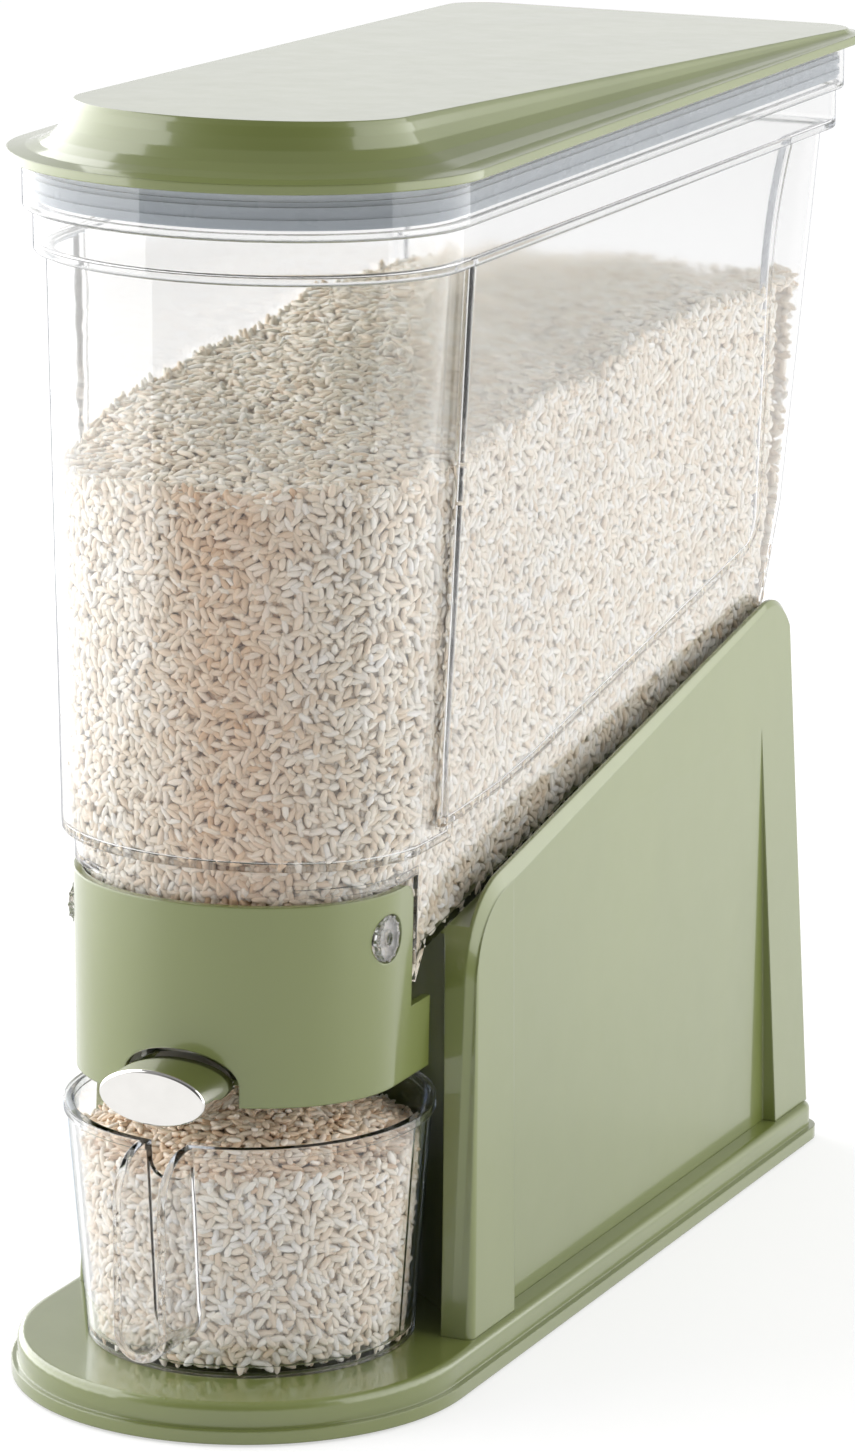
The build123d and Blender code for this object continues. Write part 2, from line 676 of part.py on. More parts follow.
with BuildPart() as stand:
    for z in (BASE_TOP, STAND_BLANK_TOP_Z):
        with BuildSketch(level(z)):
            add(stand_outline(z, 0))
    loft(ruled=True)
    add(stand_wedge.part, mode=Mode.INTERSECT)
    add(stand_inside.part, mode=Mode.SUBTRACT)
    with BuildSketch(Plane.YZ):
        add(side_profile(underside_points(-DECK_PLAY, REAR_PLAY, STAND_BLANK_TOP_Z)))
    extrude(amount=STAND_INNER_HALF, both=True, mode=Mode.SUBTRACT)
    for side in (-1, 1):
        with BuildSketch(Plane.YZ.offset(side * PANEL_HALF)):
            add(panel_outline(0))
        extrude(amount=side * STAND_HALF_BOTTOM, mode=Mode.SUBTRACT)
    add(cup_bay.part, mode=Mode.SUBTRACT)
    with BuildSketch(level(BASE_TOP)):
        with Locations(POST_PLACES):
            Circle(SCREW_RADIUS + SCREW_HOLE)
    extrude(amount=POST_HEIGHT - STAND_WALL, mode=Mode.SUBTRACT)
finish_part(stand.part, "stand")


def band(half, nose_s, depth, rear_s, corner, bottom_z, top_z):
    """A solid D-shaped band between two heights, its lower edge rounded."""
    with BuildPart() as block:
        with BuildSketch(level(bottom_z)):
            add(d_outline(half, nose_s, depth, rear_s, corner))
        extrude(amount=top_z - bottom_z)
        fillet(block.edges().group_by(Axis.Z)[0], RIM_EDGE_ROUND)
    return block.part


# Hopper: a clear tub with a sloped floor, two stepped rim bands and a narrow neck
CHUTE_SCREWS = [(side * CHUTE_SCREW_HALF, y_at(s)) for s in CHUTE_SCREW_STATIONS for side in (-1, 1)]
PEG_SOCKETS = Plane.YZ.offset(-BASE_HALF)
with BuildPart() as hopper_inside:
    add(tank_form(HOPPER_WALL))
    add(neck_step(HOPPER_WALL), mode=Mode.SUBTRACT)
    add(band(BAND_HALF - HOPPER_WALL, BAND_NOSE_S + HOPPER_WALL, BAND_DEPTH - HOPPER_WALL,
             BAND_REAR_S - HOPPER_WALL, TANK_CORNER - HOPPER_WALL, BAND_BOTTOM_Z + HOPPER_WALL,
             RIM_BOTTOM_Z + HOPPER_WALL))
    with BuildSketch(level(RIM_BOTTOM_Z + HOPPER_WALL)):
        add(rim_outline(HOPPER_WALL))
    extrude(amount=RIM_TOP_Z - RIM_BOTTOM_Z)
    with BuildSketch(level(OUTLET_FLOOR_Z)):
        with Locations(CHUTE_SCREWS):
            Circle(SMALL_BOSS)
    extrude(amount=HOPPER_WALL + FLOOR_BOSS_HEIGHT, mode=Mode.SUBTRACT)

with BuildPart() as hopper:
    add(tank_form(0))
    add(neck_step(0), mode=Mode.SUBTRACT)
    add(band(BAND_HALF, BAND_NOSE_S, BAND_DEPTH, BAND_REAR_S, TANK_CORNER, BAND_BOTTOM_Z, RIM_BOTTOM_Z))
    add(band(RIM_HALF, RIM_NOSE_S, RIM_DEPTH, RIM_REAR_S, RIM_CORNER, RIM_BOTTOM_Z, RIM_TOP_Z))
    add(hopper_inside.part, mode=Mode.SUBTRACT)
    with BuildSketch(level(OUTLET_FLOOR_Z - 1)):
        add(rounded_slab(OUTLET_HALF, OUTLET_FRONT_S, OUTLET_REAR_S, OUTLET_ROUND))
    extrude(amount=HOPPER_WALL + 2, mode=Mode.SUBTRACT)
    with BuildSketch(level(OUTLET_FLOOR_Z)):
        with Locations(CHUTE_SCREWS):
            Circle(SMALL_SCREW_RADIUS + SCREW_HOLE)
    extrude(amount=FLOOR_BOSS_HEIGHT + HOPPER_WALL - 1, mode=Mode.SUBTRACT)
    with BuildSketch(PEG_SOCKETS):
        with Locations((y_at(PEG_S), PEG_Z)):
            Circle(PEG_STEM_RADIUS + SCREW_HOLE)
    extrude(amount=BASE_WIDTH, mode=Mode.SUBTRACT)
finish_part(hopper.part, "hopper")

# Outlet gasket: a flat rubber ring under the hopper's outlet
with BuildPart() as outlet_gasket:
    with BuildSketch(level(GASKET_BOTTOM_Z)):
        add(rounded_slab(OUTLET_HALF + GASKET_WIDTH, OUTLET_FRONT_S - GASKET_WIDTH, OUTLET_REAR_S + GASKET_WIDTH,
                         OUTLET_ROUND + GASKET_WIDTH))
        add(rounded_slab(OUTLET_HALF, OUTLET_FRONT_S, OUTLET_REAR_S, OUTLET_ROUND), mode=Mode.SUBTRACT)
    extrude(amount=GASKET_THICKNESS)
finish_part(outlet_gasket.part, "outlet_gasket")

# Outlet chute: a flanged funnel that narrows to the throat above the shutter
GUIDE_SCREWS = [(side * GUIDE_SCREW_HALF, y_at(s)) for s in GUIDE_SCREW_STATIONS for side in (-1, 1)]
THROAT_FRONT_S = THROAT_S - THROAT_LENGTH / 2
THROAT_REAR_S = THROAT_S + THROAT_LENGTH / 2


def funnel(inset):
    """The funnel from the outlet down to the throat, drawn in by inset."""
    with BuildPart() as cone:
        with BuildSketch(level(GASKET_BOTTOM_Z)):
            add(rounded_slab(OUTLET_HALF - inset, OUTLET_FRONT_S + inset, OUTLET_REAR_S - inset, OUTLET_ROUND))
        with BuildSketch(level(LIP_TOP_Z)):
            add(rounded_slab(THROAT_HALF - inset, THROAT_FRONT_S + inset, THROAT_REAR_S - inset, THROAT_ROUND))
        loft(ruled=True)
    return cone.part


with BuildPart() as outlet_chute:
    with BuildSketch(level(FLANGE_BOTTOM_Z)):
        add(rounded_slab(CHUTE_FLANGE_HALF, CHUTE_FLANGE_FRONT_S, CHUTE_FLANGE_REAR_S, CHUTE_FLANGE_ROUND))
    extrude(amount=CHUTE_FLANGE)
    add(funnel(-CHUTE_WALL))
    with BuildSketch(level(LIP_BOTTOM_Z)):
        add(rounded_slab(CHUTE_LIP_HALF, LIP_FRONT_S, LIP_REAR_S, THROAT_ROUND))
    extrude(amount=CHUTE_LIP)
    with BuildSketch(level(LIP_TOP_Z)):
        with Locations(GUIDE_SCREWS):
            Circle(SMALL_BOSS)
    extrude(amount=FLOOR_BOSS_HEIGHT)
    with BuildSketch(level(GASKET_BOTTOM_Z)):
        Rectangle(2 * BASE_WIDTH, 2 * BASE_LENGTH)
    extrude(amount=CHUTE_WALL * 4, mode=Mode.SUBTRACT)
    add(funnel(0), mode=Mode.SUBTRACT)
    with BuildSketch(level(LIP_BOTTOM_Z)):
        add(rounded_slab(THROAT_HALF, THROAT_FRONT_S, THROAT_REAR_S, THROAT_ROUND))
    extrude(amount=CHUTE_LIP, mode=Mode.SUBTRACT)
    with BuildSketch(level(FLANGE_BOTTOM_Z)):
        with Locations(CHUTE_SCREWS):
            Circle(SMALL_SCREW_RADIUS + SCREW_FREE)
    extrude(amount=CHUTE_FLANGE, mode=Mode.SUBTRACT)
    with BuildSketch(level(LIP_BOTTOM_Z)):
        with Locations(GUIDE_SCREWS):
            Circle(SMALL_SCREW_RADIUS + SCREW_HOLE)
    extrude(amount=CHUTE_LIP + FLOOR_BOSS_HEIGHT - 1, mode=Mode.SUBTRACT)
finish_part(outlet_chute.part, "outlet_chute")

# Chute screws: up through the chute's flange into the hopper's floor
chute_screw = pan_screw(SMALL_SCREW_RADIUS, SMALL_HEAD_RADIUS, SMALL_HEAD_HEIGHT, CHUTE_SCREW_LENGTH)
with BuildPart() as chute_screws:
    with Locations([(x, y, FLANGE_BOTTOM_Z) for x, y in CHUTE_SCREWS]):
        add(chute_screw)
finish_part(chute_screws.part, "chute_screws")

# Gate wiper: a soft ring that keeps grains off the shutter's top
with BuildPart() as gate_wiper:
    with BuildSketch(level(WIPER_BOTTOM_Z)):
        add(rounded_slab(THROAT_HALF + WIPER_WIDTH, THROAT_FRONT_S - WIPER_WIDTH, THROAT_REAR_S + WIPER_WIDTH,
                         THROAT_ROUND + WIPER_WIDTH))
        add(rounded_slab(THROAT_HALF, THROAT_FRONT_S, THROAT_REAR_S, THROAT_ROUND), mode=Mode.SUBTRACT)
    extrude(amount=WIPER_THICKNESS)
finish_part(gate_wiper.part, "gate_wiper")

# Gate guide: a tray under the shutter with rails, side walls, screw columns and spring stops
RIB_HALF = SHUTTER_HALF - GUIDE_RIB
WALL_HALF = SHUTTER_HALF + GUIDE_SIDE_PLAY
STOP_Z = SPRING_Z - WEB_TOP_Z
with BuildPart() as gate_guide:
    with BuildSketch(level(WEB_BOTTOM_Z)):
        add(rounded_slab(GUIDE_HALF, GUIDE_FRONT_S, GUIDE_REAR_S, GUIDE_ROUND))
        with Locations(GUIDE_SCREWS):
            Circle(SMALL_BOSS + 1)
    extrude(amount=GUIDE_WEB)
    for half, width, top_z in ((RIB_HALF, GUIDE_RIB, SHUTTER_BOTTOM_Z - SHUTTER_PLAY), (WALL_HALF, GUIDE_WALL, LIP_BOTTOM_Z)):
        with BuildSketch(level(WEB_TOP_Z)):
            for side in (-1, 1):
                with Locations((side * (half + width / 2), y_at((GUIDE_FRONT_S + GUIDE_REAR_S) / 2))):
                    Rectangle(width, GUIDE_REAR_S - GUIDE_FRONT_S)
        extrude(amount=top_z - WEB_TOP_Z)
    with BuildSketch(level(WEB_TOP_Z)):
        with Locations([(side * SPRING_HALF, y_at(SPRING_STOP_S + STOP_THICKNESS / 2)) for side in (-1, 1)]):
            Rectangle(2 * STOP_HALF, STOP_THICKNESS)
    extrude(amount=STOP_Z + SPRING_COIL_RADIUS + SPRING_WIRE_RADIUS)
    with BuildSketch(across(SPRING_STOP_S)):
        with Locations((-SPRING_HALF, SPRING_Z), (SPRING_HALF, SPRING_Z)):
            Circle(SPRING_COIL_RADIUS - SPRING_WIRE_RADIUS - PLAY)
    extrude(amount=SPIGOT_LENGTH)
    with BuildSketch(level(WEB_TOP_Z)):
        with Locations(GUIDE_SCREWS):
            Circle(SMALL_BOSS)
    extrude(amount=LIP_BOTTOM_Z - WEB_TOP_Z)
    with BuildSketch(level(WEB_BOTTOM_Z)):
        add(rounded_slab(THROAT_HALF + GUIDE_HOLE_MARGIN, THROAT_FRONT_S - 2 * GUIDE_HOLE_MARGIN,
                         THROAT_REAR_S + 2 * GUIDE_HOLE_MARGIN, THROAT_ROUND))
    extrude(amount=GUIDE_WEB, mode=Mode.SUBTRACT)
    slot_front_s = LUG_S - LUG_THICKNESS / 2 - 1
    slot_rear_s = LUG_BACK_S + BUTTON_TRAVEL + 1
    with BuildSketch(level(SHUTTER_BOTTOM_Z - SHUTTER_PLAY)):
        add(rounded_slab(LUG_REACH, slot_front_s, slot_rear_s, 0.5))
        add(rounded_slab(SHUTTER_HALF, slot_front_s - 1, slot_rear_s + 1, 0.5), mode=Mode.SUBTRACT)
    extrude(amount=LIP_BOTTOM_Z - SHUTTER_BOTTOM_Z + 1, mode=Mode.SUBTRACT)
    with BuildSketch(level(WEB_BOTTOM_Z)):
        with Locations(GUIDE_SCREWS):
            Circle(SMALL_SCREW_RADIUS + SCREW_FREE)
    extrude(amount=LIP_BOTTOM_Z - WEB_BOTTOM_Z, mode=Mode.SUBTRACT)
finish_part(gate_guide.part, "gate_guide")

# Guide screws: up through the guide's columns into the chute's lip
GUIDE_SCREW_LENGTH = LIP_BOTTOM_Z - WEB_BOTTOM_Z + CHUTE_LIP + 1
guide_screw = pan_screw(SMALL_SCREW_RADIUS, SMALL_HEAD_RADIUS, SMALL_HEAD_HEIGHT, GUIDE_SCREW_LENGTH)
with BuildPart() as guide_screws:
    with Locations([(x, y, WEB_BOTTOM_Z) for x, y in GUIDE_SCREWS]):
        add(guide_screw)
finish_part(guide_screws.part, "guide_screws")

# Gate slide: the shutter plate with its window, spring lugs and the stem that carries the button
with BuildPart() as gate_slide:
    with BuildSketch(level(SHUTTER_BOTTOM_Z)):
        add(rounded_slab(SHUTTER_HALF, SLIDE_SHOULDER_S, SHUTTER_REAR_S, SLIDE_ROUND))
        add(rounded_slab(SLIDE_NECK_HALF, BUTTON_REAR_S - SLIDE_NECK_LAP, SLIDE_SHOULDER_S + 2 * SLIDE_NECK_LAP, 1))
        with Locations((0, y_at(LUG_S))):
            Rectangle(2 * LUG_REACH, LUG_THICKNESS)
        add(rounded_slab(THROAT_HALF, WINDOW_FRONT_S, WINDOW_FRONT_S + THROAT_LENGTH + WINDOW_MARGIN, THROAT_ROUND),
            mode=Mode.SUBTRACT)
    extrude(amount=SHUTTER_THICKNESS)
    with BuildSketch(across(BUTTON_FRONT_S + BUTTON_SKIN + STEM_SETBACK)):
        add(oval(-BUTTON_SKIN - BOSS_PLAY))
    extrude(amount=-(BUTTON_REAR_S - BUTTON_FRONT_S - BUTTON_SKIN - STEM_SETBACK))
    with BuildSketch(across(BUTTON_FRONT_S)):
        add(oval(-BUTTON_SKIN - BOSS_PLAY - STEM_WALL))
    extrude(amount=-(BUTTON_REAR_S - BUTTON_FRONT_S - STEM_BACK), mode=Mode.SUBTRACT)
finish_part(gate_slide.part, "gate_slide")

# Return springs: one on each side of the shutter, between its lug and the guide's stop
spring_path_length = SPRING_LENGTH - 2 * SPRING_WIRE_RADIUS - 2 * SPRING_END_PLAY
with BuildPart() as spring_coil:
    with BuildLine() as coil:
        Helix(spring_path_length / SPRING_TURNS, spring_path_length, SPRING_COIL_RADIUS)
    with BuildSketch(Plane(origin=coil.line @ 0, z_dir=coil.line % 0)):
        RegularPolygon(SPRING_WIRE_RADIUS, 6)
    sweep()
coil_start = SPRING_WIRE_RADIUS + SPRING_END_PLAY
with BuildPart() as return_springs:
    for side in (-1, 1):
        spring_plane = Plane(origin=(side * SPRING_HALF, y_at(LUG_BACK_S + coil_start), SPRING_Z), z_dir=(0, 1, 0))
        with Locations(spring_plane):
            add(spring_coil.part)
finish_part(return_springs.part, "return_springs")
print("spring gap between turns", round(spring_path_length / SPRING_TURNS - 2 * SPRING_WIRE_RADIUS, 2))

# Button cap: a bright oval cup pushed over the slide's stem, its face leaning back
with BuildPart() as button_cap:
    lean = Plane(origin=(0, y_at(BUTTON_FRONT_S), BUTTON_Z + BUTTON_HALF_HEIGHT), x_dir=(1, 0, 0), z_dir=(0, -1, 0))
    with BuildSketch(across(BUTTON_REAR_S)):
        add(oval(0))
    extrude(amount=BUTTON_REAR_S)
    split(bisect_by=lean.rotated((BUTTON_LEAN, 0, 0)), keep=Keep.BOTTOM)
    fillet(button_cap.edges().sort_by(Axis.Y)[0], BUTTON_EDGE)
    with BuildSketch(across(BUTTON_REAR_S)):
        add(oval(-BUTTON_SKIN))
    extrude(amount=BUTTON_REAR_S - BUTTON_FRONT_S - BUTTON_SKIN - STEM_SETBACK + STEM_FRONT_PLAY, mode=Mode.SUBTRACT)
finish_part(button_cap.part, "button_cap")

# Front cover: an open-backed shell round the neck, arched over the button
with BuildPart() as front_cover:
    for inset, mode in ((0, Mode.ADD), (COVER_WALL, Mode.SUBTRACT)):
        for z in (COVER_BOTTOM_Z, COVER_TOP_Z):
            with BuildSketch(level(z)):
                add(cover_outline(z, inset))
        loft(ruled=True, mode=mode)
    with BuildSketch(Plane.YZ) as cover_side:
        add(side_profile([
            (0, COVER_BOTTOM_Z - 1),
            (COVER_REAR_S, COVER_BOTTOM_Z - 1),
            (COVER_REAR_S, COVER_NOTCH_Z),
            (COVER_NOTCH_S, COVER_NOTCH_Z),
            (COVER_NOTCH_S, COVER_TOP_Z),
            (0, COVER_TOP_Z),
        ]))
        notch_corners = cover_side.vertices().filter_by(lambda v: v.X > y_at(COVER_NOTCH_S - 1) and v.Y > COVER_NOTCH_Z - 1)
        fillet(notch_corners.sort_by(Axis.Y)[-1], COVER_NOTCH_ROUND)
        fillet(notch_corners.sort_by(Axis.Y)[:-1], COVER_CORNER_ROUND)
    extrude(amount=BASE_WIDTH, both=True, mode=Mode.INTERSECT)
    with BuildSketch(across(COVER_TOP_NOSE_S + BUTTON_SKIN)):
        add(oval(ARCH_CLEARANCE))
        with Locations((0, BUTTON_Z)):
            Rectangle(2 * (BUTTON_HALF_WIDTH + ARCH_CLEARANCE), 2 * BUTTON_HALF_HEIGHT, align=(Align.CENTER, Align.MAX))
    extrude(amount=COVER_TOP_NOSE_S, both=True, mode=Mode.SUBTRACT)
    with BuildSketch(PEG_SOCKETS):
        with Locations((y_at(PEG_S), PEG_Z)):
            Circle(PEG_RADIUS + PEG_PLAY)
    extrude(amount=BASE_WIDTH, mode=Mode.SUBTRACT)
finish_part(front_cover.part, "front_cover")

# Cover pegs: clear ribbed discs whose stems press into the hopper's neck
up_to_peg = (PEG_Z - COVER_BOTTOM_Z) / (COVER_TOP_Z - COVER_BOTTOM_Z)
cover_half_at_peg = COVER_BOTTOM_HALF + (COVER_TOP_HALF - COVER_BOTTOM_HALF) * up_to_peg
PEG_SEAT_X = cover_half_at_peg - COVER_WALL + PEG_SEAT_RISE
PEG_OUTER_X = cover_half_at_peg - PEG_SINK
with BuildPart() as cover_pegs:
    for side in (-1, 1):
        with BuildSketch(Plane.YZ.offset(side * PEG_SEAT_X)):
            with Locations((y_at(PEG_S), PEG_Z)):
                Circle(PEG_RADIUS - PEG_RIB_RADIUS)
                with PolarLocations(PEG_RADIUS - PEG_RIB_RADIUS, PEG_RIBS):
                    Circle(PEG_RIB_RADIUS)
        extrude(amount=side * (PEG_OUTER_X - PEG_SEAT_X))
        with BuildSketch(Plane.YZ.offset(side * (PEG_SEAT_X - PEG_STEM_LENGTH))):
            with Locations((y_at(PEG_S), PEG_Z)):
                Circle(PEG_STEM_RADIUS)
        extrude(amount=side * PEG_STEM_LENGTH)
        with BuildSketch(Plane.YZ.offset(side * (PEG_OUTER_X - PEG_HOLE_DEPTH))):
            with Locations((y_at(PEG_S), PEG_Z)):
                Circle(PEG_HOLE_RADIUS)
        extrude(amount=side * PEG_HOLE_DEPTH, mode=Mode.SUBTRACT)
finish_part(cover_pegs.part, "cover_pegs")


def lid_section(fraction, inset):
    """One rounded outline of the lid's raised top, drawn in and down by inset."""
    across_share = dict(LID_FLARE)[fraction]
    front_z = LID_SLAB_TOP_Z + fraction * (LID_PEAK_Z - LID_SLAB_TOP_Z)
    tail_z = LID_SLAB_TOP_Z + fraction * (LID_TAIL_Z - LID_SLAB_TOP_Z)
    slope = (tail_z - front_z) / (LID_TAIL_S - LID_TOP_NOSE_S)
    centre_z = front_z - slope * y_at(LID_TOP_NOSE_S)
    tilted = Plane(origin=(0, 0, centre_z - inset), x_dir=(1, 0, 0), z_dir=(0, -slope, 1))
    half = LID_HALF + (LID_TOP_HALF - LID_HALF) * across_share
    tail_half = LID_HALF + (LID_TOP_TAIL_HALF - LID_HALF) * across_share
    nose_s = LID_SETBACK + (LID_TOP_NOSE_S - LID_SETBACK) * across_share
    depth = LID_NOSE_DEPTH + (LID_TOP_DEPTH - LID_NOSE_DEPTH) * across_share
    rear_s = LID_TAIL_S - LID_TAIL_SET * across_share
    with BuildSketch(tilted) as section:
        add(d_outline(half - inset, nose_s + inset, depth - inset, rear_s - inset, LID_CORNER - inset / 2,
                      rear_half=tail_half - inset))
    return section.sketch


def lid_top(inset):
    """The lid's raised top, drawn in and down by inset."""
    fractions = [fraction for fraction, share in LID_FLARE]
    with BuildPart() as top:
        for lower, upper in zip(fractions, fractions[1:]):
            add(lid_section(lower, inset))
            add(lid_section(upper, inset))
            loft(ruled=True)
    return top.part


# Lid: a rim slab, a hollow raised top that falls towards the back, and a pocket for the hopper's rim
liner_inset = RIM_HALF - LINER_HALF
with BuildPart() as lid_inside:
    add(lid_top(LID_SKIN))
    with BuildSketch(level(LID_POCKET_TOP_Z)):
        add(rim_outline(liner_inset + LINER_WALL))
    extrude(amount=LID_PEAK_Z - LID_POCKET_TOP_Z, mode=Mode.INTERSECT)

with BuildPart() as lid:
    with BuildSketch(level(LID_SEAT_Z)):
        add(d_outline(LID_HALF, LID_SETBACK, LID_NOSE_DEPTH, LID_TAIL_S, LID_CORNER))
    extrude(amount=LID_RIM_HEIGHT)
    add(lid_top(0))
    add(lid_inside.part, mode=Mode.SUBTRACT)
    with BuildSketch(level(LID_SEAT_Z)):
        add(rim_outline(-LID_RIM_PLAY))
    extrude(amount=LID_POCKET_TOP_Z - LID_SEAT_Z, mode=Mode.SUBTRACT)
finish_part(lid.part, "lid")

# Lid liner: a translucent plug ring that drops inside the hopper's rim
with BuildPart() as lid_liner:
    with BuildSketch(level(LINER_BOTTOM_Z)):
        add(rim_outline(liner_inset))
        add(rim_outline(liner_inset + LINER_WALL), mode=Mode.SUBTRACT)
    extrude(amount=LINER_HEIGHT)
finish_part(lid_liner.part, "lid_liner")

# Lid seal: a soft band round the liner, with two lips against the rim's inner wall
with BuildPart() as lid_seal:
    lip_inset = HOPPER_WALL + SEAL_PLAY
    for inset, bottom_z, height in (
        (lip_inset + SEAL_BODY_INSET, SEAL_TOP_Z - SEAL_HEIGHT, SEAL_HEIGHT),
        (lip_inset, SEAL_TOP_Z - SEAL_HEIGHT + SEAL_LIP, SEAL_LIP),
        (lip_inset, SEAL_TOP_Z - 2 * SEAL_LIP, SEAL_LIP),
    ):
        with BuildSketch(level(bottom_z)):
            add(rim_outline(inset))
        extrude(amount=height)
    with BuildSketch(level(SEAL_TOP_Z - SEAL_HEIGHT)):
        add(rim_outline(liner_inset))
    extrude(amount=SEAL_HEIGHT, mode=Mode.SUBTRACT)
finish_part(lid_seal.part, "lid_seal")

def grip_profile(inset, top_z):
    """Front view of the cup's grip: straight sides and a round bottom, drawn in by inset."""
    half = HANDLE_HALF - inset
    with BuildSketch() as outline:
        with BuildLine():
            bottom = ThreePointArc(
                (-half, HANDLE_BOTTOM_Z + HANDLE_HALF),
                (0, HANDLE_BOTTOM_Z + inset),
                (half, HANDLE_BOTTOM_Z + HANDLE_HALF),
            )
            Polyline(bottom @ 1, (half, top_z), (-half, top_z), bottom @ 0)
        make_face()
    return outline.sketch


def cup_form(foot_radius, rim_radius, bottom_z, top_z):
    """A solid cone standing where the cup stands."""
    with BuildPart() as cone:
        with BuildSketch(level(bottom_z)):
            with Locations((0, y_at(CUP_CENTRE_S))):
                Circle(foot_radius)
        with BuildSketch(level(top_z)):
            with Locations((0, y_at(CUP_CENTRE_S))):
                Circle(rim_radius)
        loft(ruled=True)
    return cone.part


# Measuring cup: a tapered beaker with a grip channel and a pouring notch at its front
CUP_WALL_RADIUS = CUP_RIM_RADIUS - CUP_BEAD
CUP_TAPER = (CUP_WALL_RADIUS - CUP_FOOT_RADIUS) / (CUP_TOP_Z - CUP_FLOOR_Z)
grip_front_s = CUP_CENTRE_S - HANDLE_REACH
with BuildPart() as cup_grip:
    with BuildSketch(across(CUP_CENTRE_S - CUP_FOOT_RADIUS / 2)):
        add(grip_profile(0, CUP_TOP_Z))
        add(grip_profile(HANDLE_WALL, CUP_TOP_Z + 1), mode=Mode.SUBTRACT)
    extrude(amount=CUP_CENTRE_S - CUP_FOOT_RADIUS / 2 - grip_front_s)
    with BuildSketch(Plane.YZ) as grip_side:
        with Locations((y_at(grip_front_s), 0)):
            Rectangle(2 * CUP_CENTRE_S, CUP_TOP_Z, align=(Align.MIN, Align.MIN))
        fillet(grip_side.vertices().sort_by_distance((y_at(grip_front_s), CUP_TOP_Z))[0], HANDLE_SWEEP)
    extrude(amount=HANDLE_HALF, both=True, mode=Mode.INTERSECT)

with BuildPart() as measuring_cup:
    add(cup_form(CUP_FOOT_RADIUS, CUP_WALL_RADIUS, CUP_FLOOR_Z, CUP_TOP_Z))
    add(cup_form(CUP_RIM_RADIUS, CUP_RIM_RADIUS, CUP_TOP_Z - CUP_BEAD_HEIGHT, CUP_TOP_Z))
    add(cup_grip.part)
    inner_bottom_z = CUP_FLOOR_Z + CUP_FLOOR
    inner_foot = CUP_FOOT_RADIUS - CUP_WALL + CUP_TAPER * CUP_FLOOR
    inner_rim = CUP_WALL_RADIUS - CUP_WALL
    add(cup_form(inner_foot, inner_rim, inner_bottom_z, CUP_TOP_Z), mode=Mode.SUBTRACT)
    with BuildSketch(level(CUP_FLOOR_Z)):
        with Locations((0, y_at(CUP_CENTRE_S))):
            Circle(CUP_FOOT_RADIUS - 2 * CUP_WALL)
    extrude(amount=CUP_FOOT_RING, mode=Mode.SUBTRACT)
    with BuildSketch(across(CUP_CENTRE_S)) as notch:
        with Locations((0, CUP_TOP_Z)):
            Rectangle(2 * (HANDLE_HALF - HANDLE_WALL), 2 * NOTCH_DEPTH)
        fillet(notch.vertices().group_by(Axis.Y)[0], NOTCH_ROUND)
    extrude(amount=CUP_CENTRE_S - grip_front_s, mode=Mode.SUBTRACT)
finish_part(measuring_cup.part, "measuring_cup")
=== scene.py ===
"""Rice dispenser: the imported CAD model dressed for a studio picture.

Metres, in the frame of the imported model: -Y is the front, +Z is up.
Lengths written in millimetres are multiplied by MM.
"""
from math import atan2, cos, degrees, exp, pi, radians, sin

import bpy
import numpy as np
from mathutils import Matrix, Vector
from mathutils.bvhtree import BVHTree


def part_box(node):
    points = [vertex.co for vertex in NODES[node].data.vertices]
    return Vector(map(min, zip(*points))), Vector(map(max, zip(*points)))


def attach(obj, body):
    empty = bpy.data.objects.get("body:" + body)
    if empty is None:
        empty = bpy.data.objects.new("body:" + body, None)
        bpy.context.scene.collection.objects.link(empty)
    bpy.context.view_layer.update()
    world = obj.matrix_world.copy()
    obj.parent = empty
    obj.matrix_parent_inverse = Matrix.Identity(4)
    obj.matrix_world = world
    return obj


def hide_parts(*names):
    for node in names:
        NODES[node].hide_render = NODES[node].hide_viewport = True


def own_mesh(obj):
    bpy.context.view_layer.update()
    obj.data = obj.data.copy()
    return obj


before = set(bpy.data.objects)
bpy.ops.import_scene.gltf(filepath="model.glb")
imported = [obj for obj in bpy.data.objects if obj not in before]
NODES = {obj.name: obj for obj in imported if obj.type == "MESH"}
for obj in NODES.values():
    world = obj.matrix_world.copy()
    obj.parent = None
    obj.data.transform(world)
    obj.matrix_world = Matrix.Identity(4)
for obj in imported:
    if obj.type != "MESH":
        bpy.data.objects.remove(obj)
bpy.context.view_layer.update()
MM = 0.001
FRONT_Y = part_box("base_plate")[0][1]

# Camera, as the photograph was taken
CAMERA_PLACE = (0.9845, -2.1094, 0.7806)
CAMERA_AZIMUTH = radians(24.93)
CAMERA_TILT = radians(14.09)
FOCAL_PIXELS = 6742.8
FRAME_HEIGHT_PIXELS = 1452
SENSOR = 36.0

# Rice grains: their size, how far apart they lie, their layers, and the most in one piece
GRAIN_LENGTH = 6.7 * MM
GRAIN_WIDTH = 2.75 * MM
GRAIN_THICKNESS = 2.1 * MM
GRAIN_STEP = 2.9 * MM
GRAIN_LAYERS = 2
LAYER_STEP = 1.7 * MM
TOP_LAYER_STEP = 1.5 * MM
GRAINS_IN_A_PIECE = 4000
HOPPER_SEED = 11
CUP_SEED = 23

# How far grains and beds stay from walls, floors and the rice's surface
WALL_GAP = 1.35 * MM
TOP_WALL_GAP = 1.6 * MM
FLOOR_GAP = 1.5 * MM
CUP_FLOOR_GAP = 1 * MM
SURFACE_SLACK = 1.0 * MM
BED_GAP = 3.0 * MM
BED_TOP_GAP = 2.6 * MM
WALL_SCATTER_MILLIMETRES = 0.7

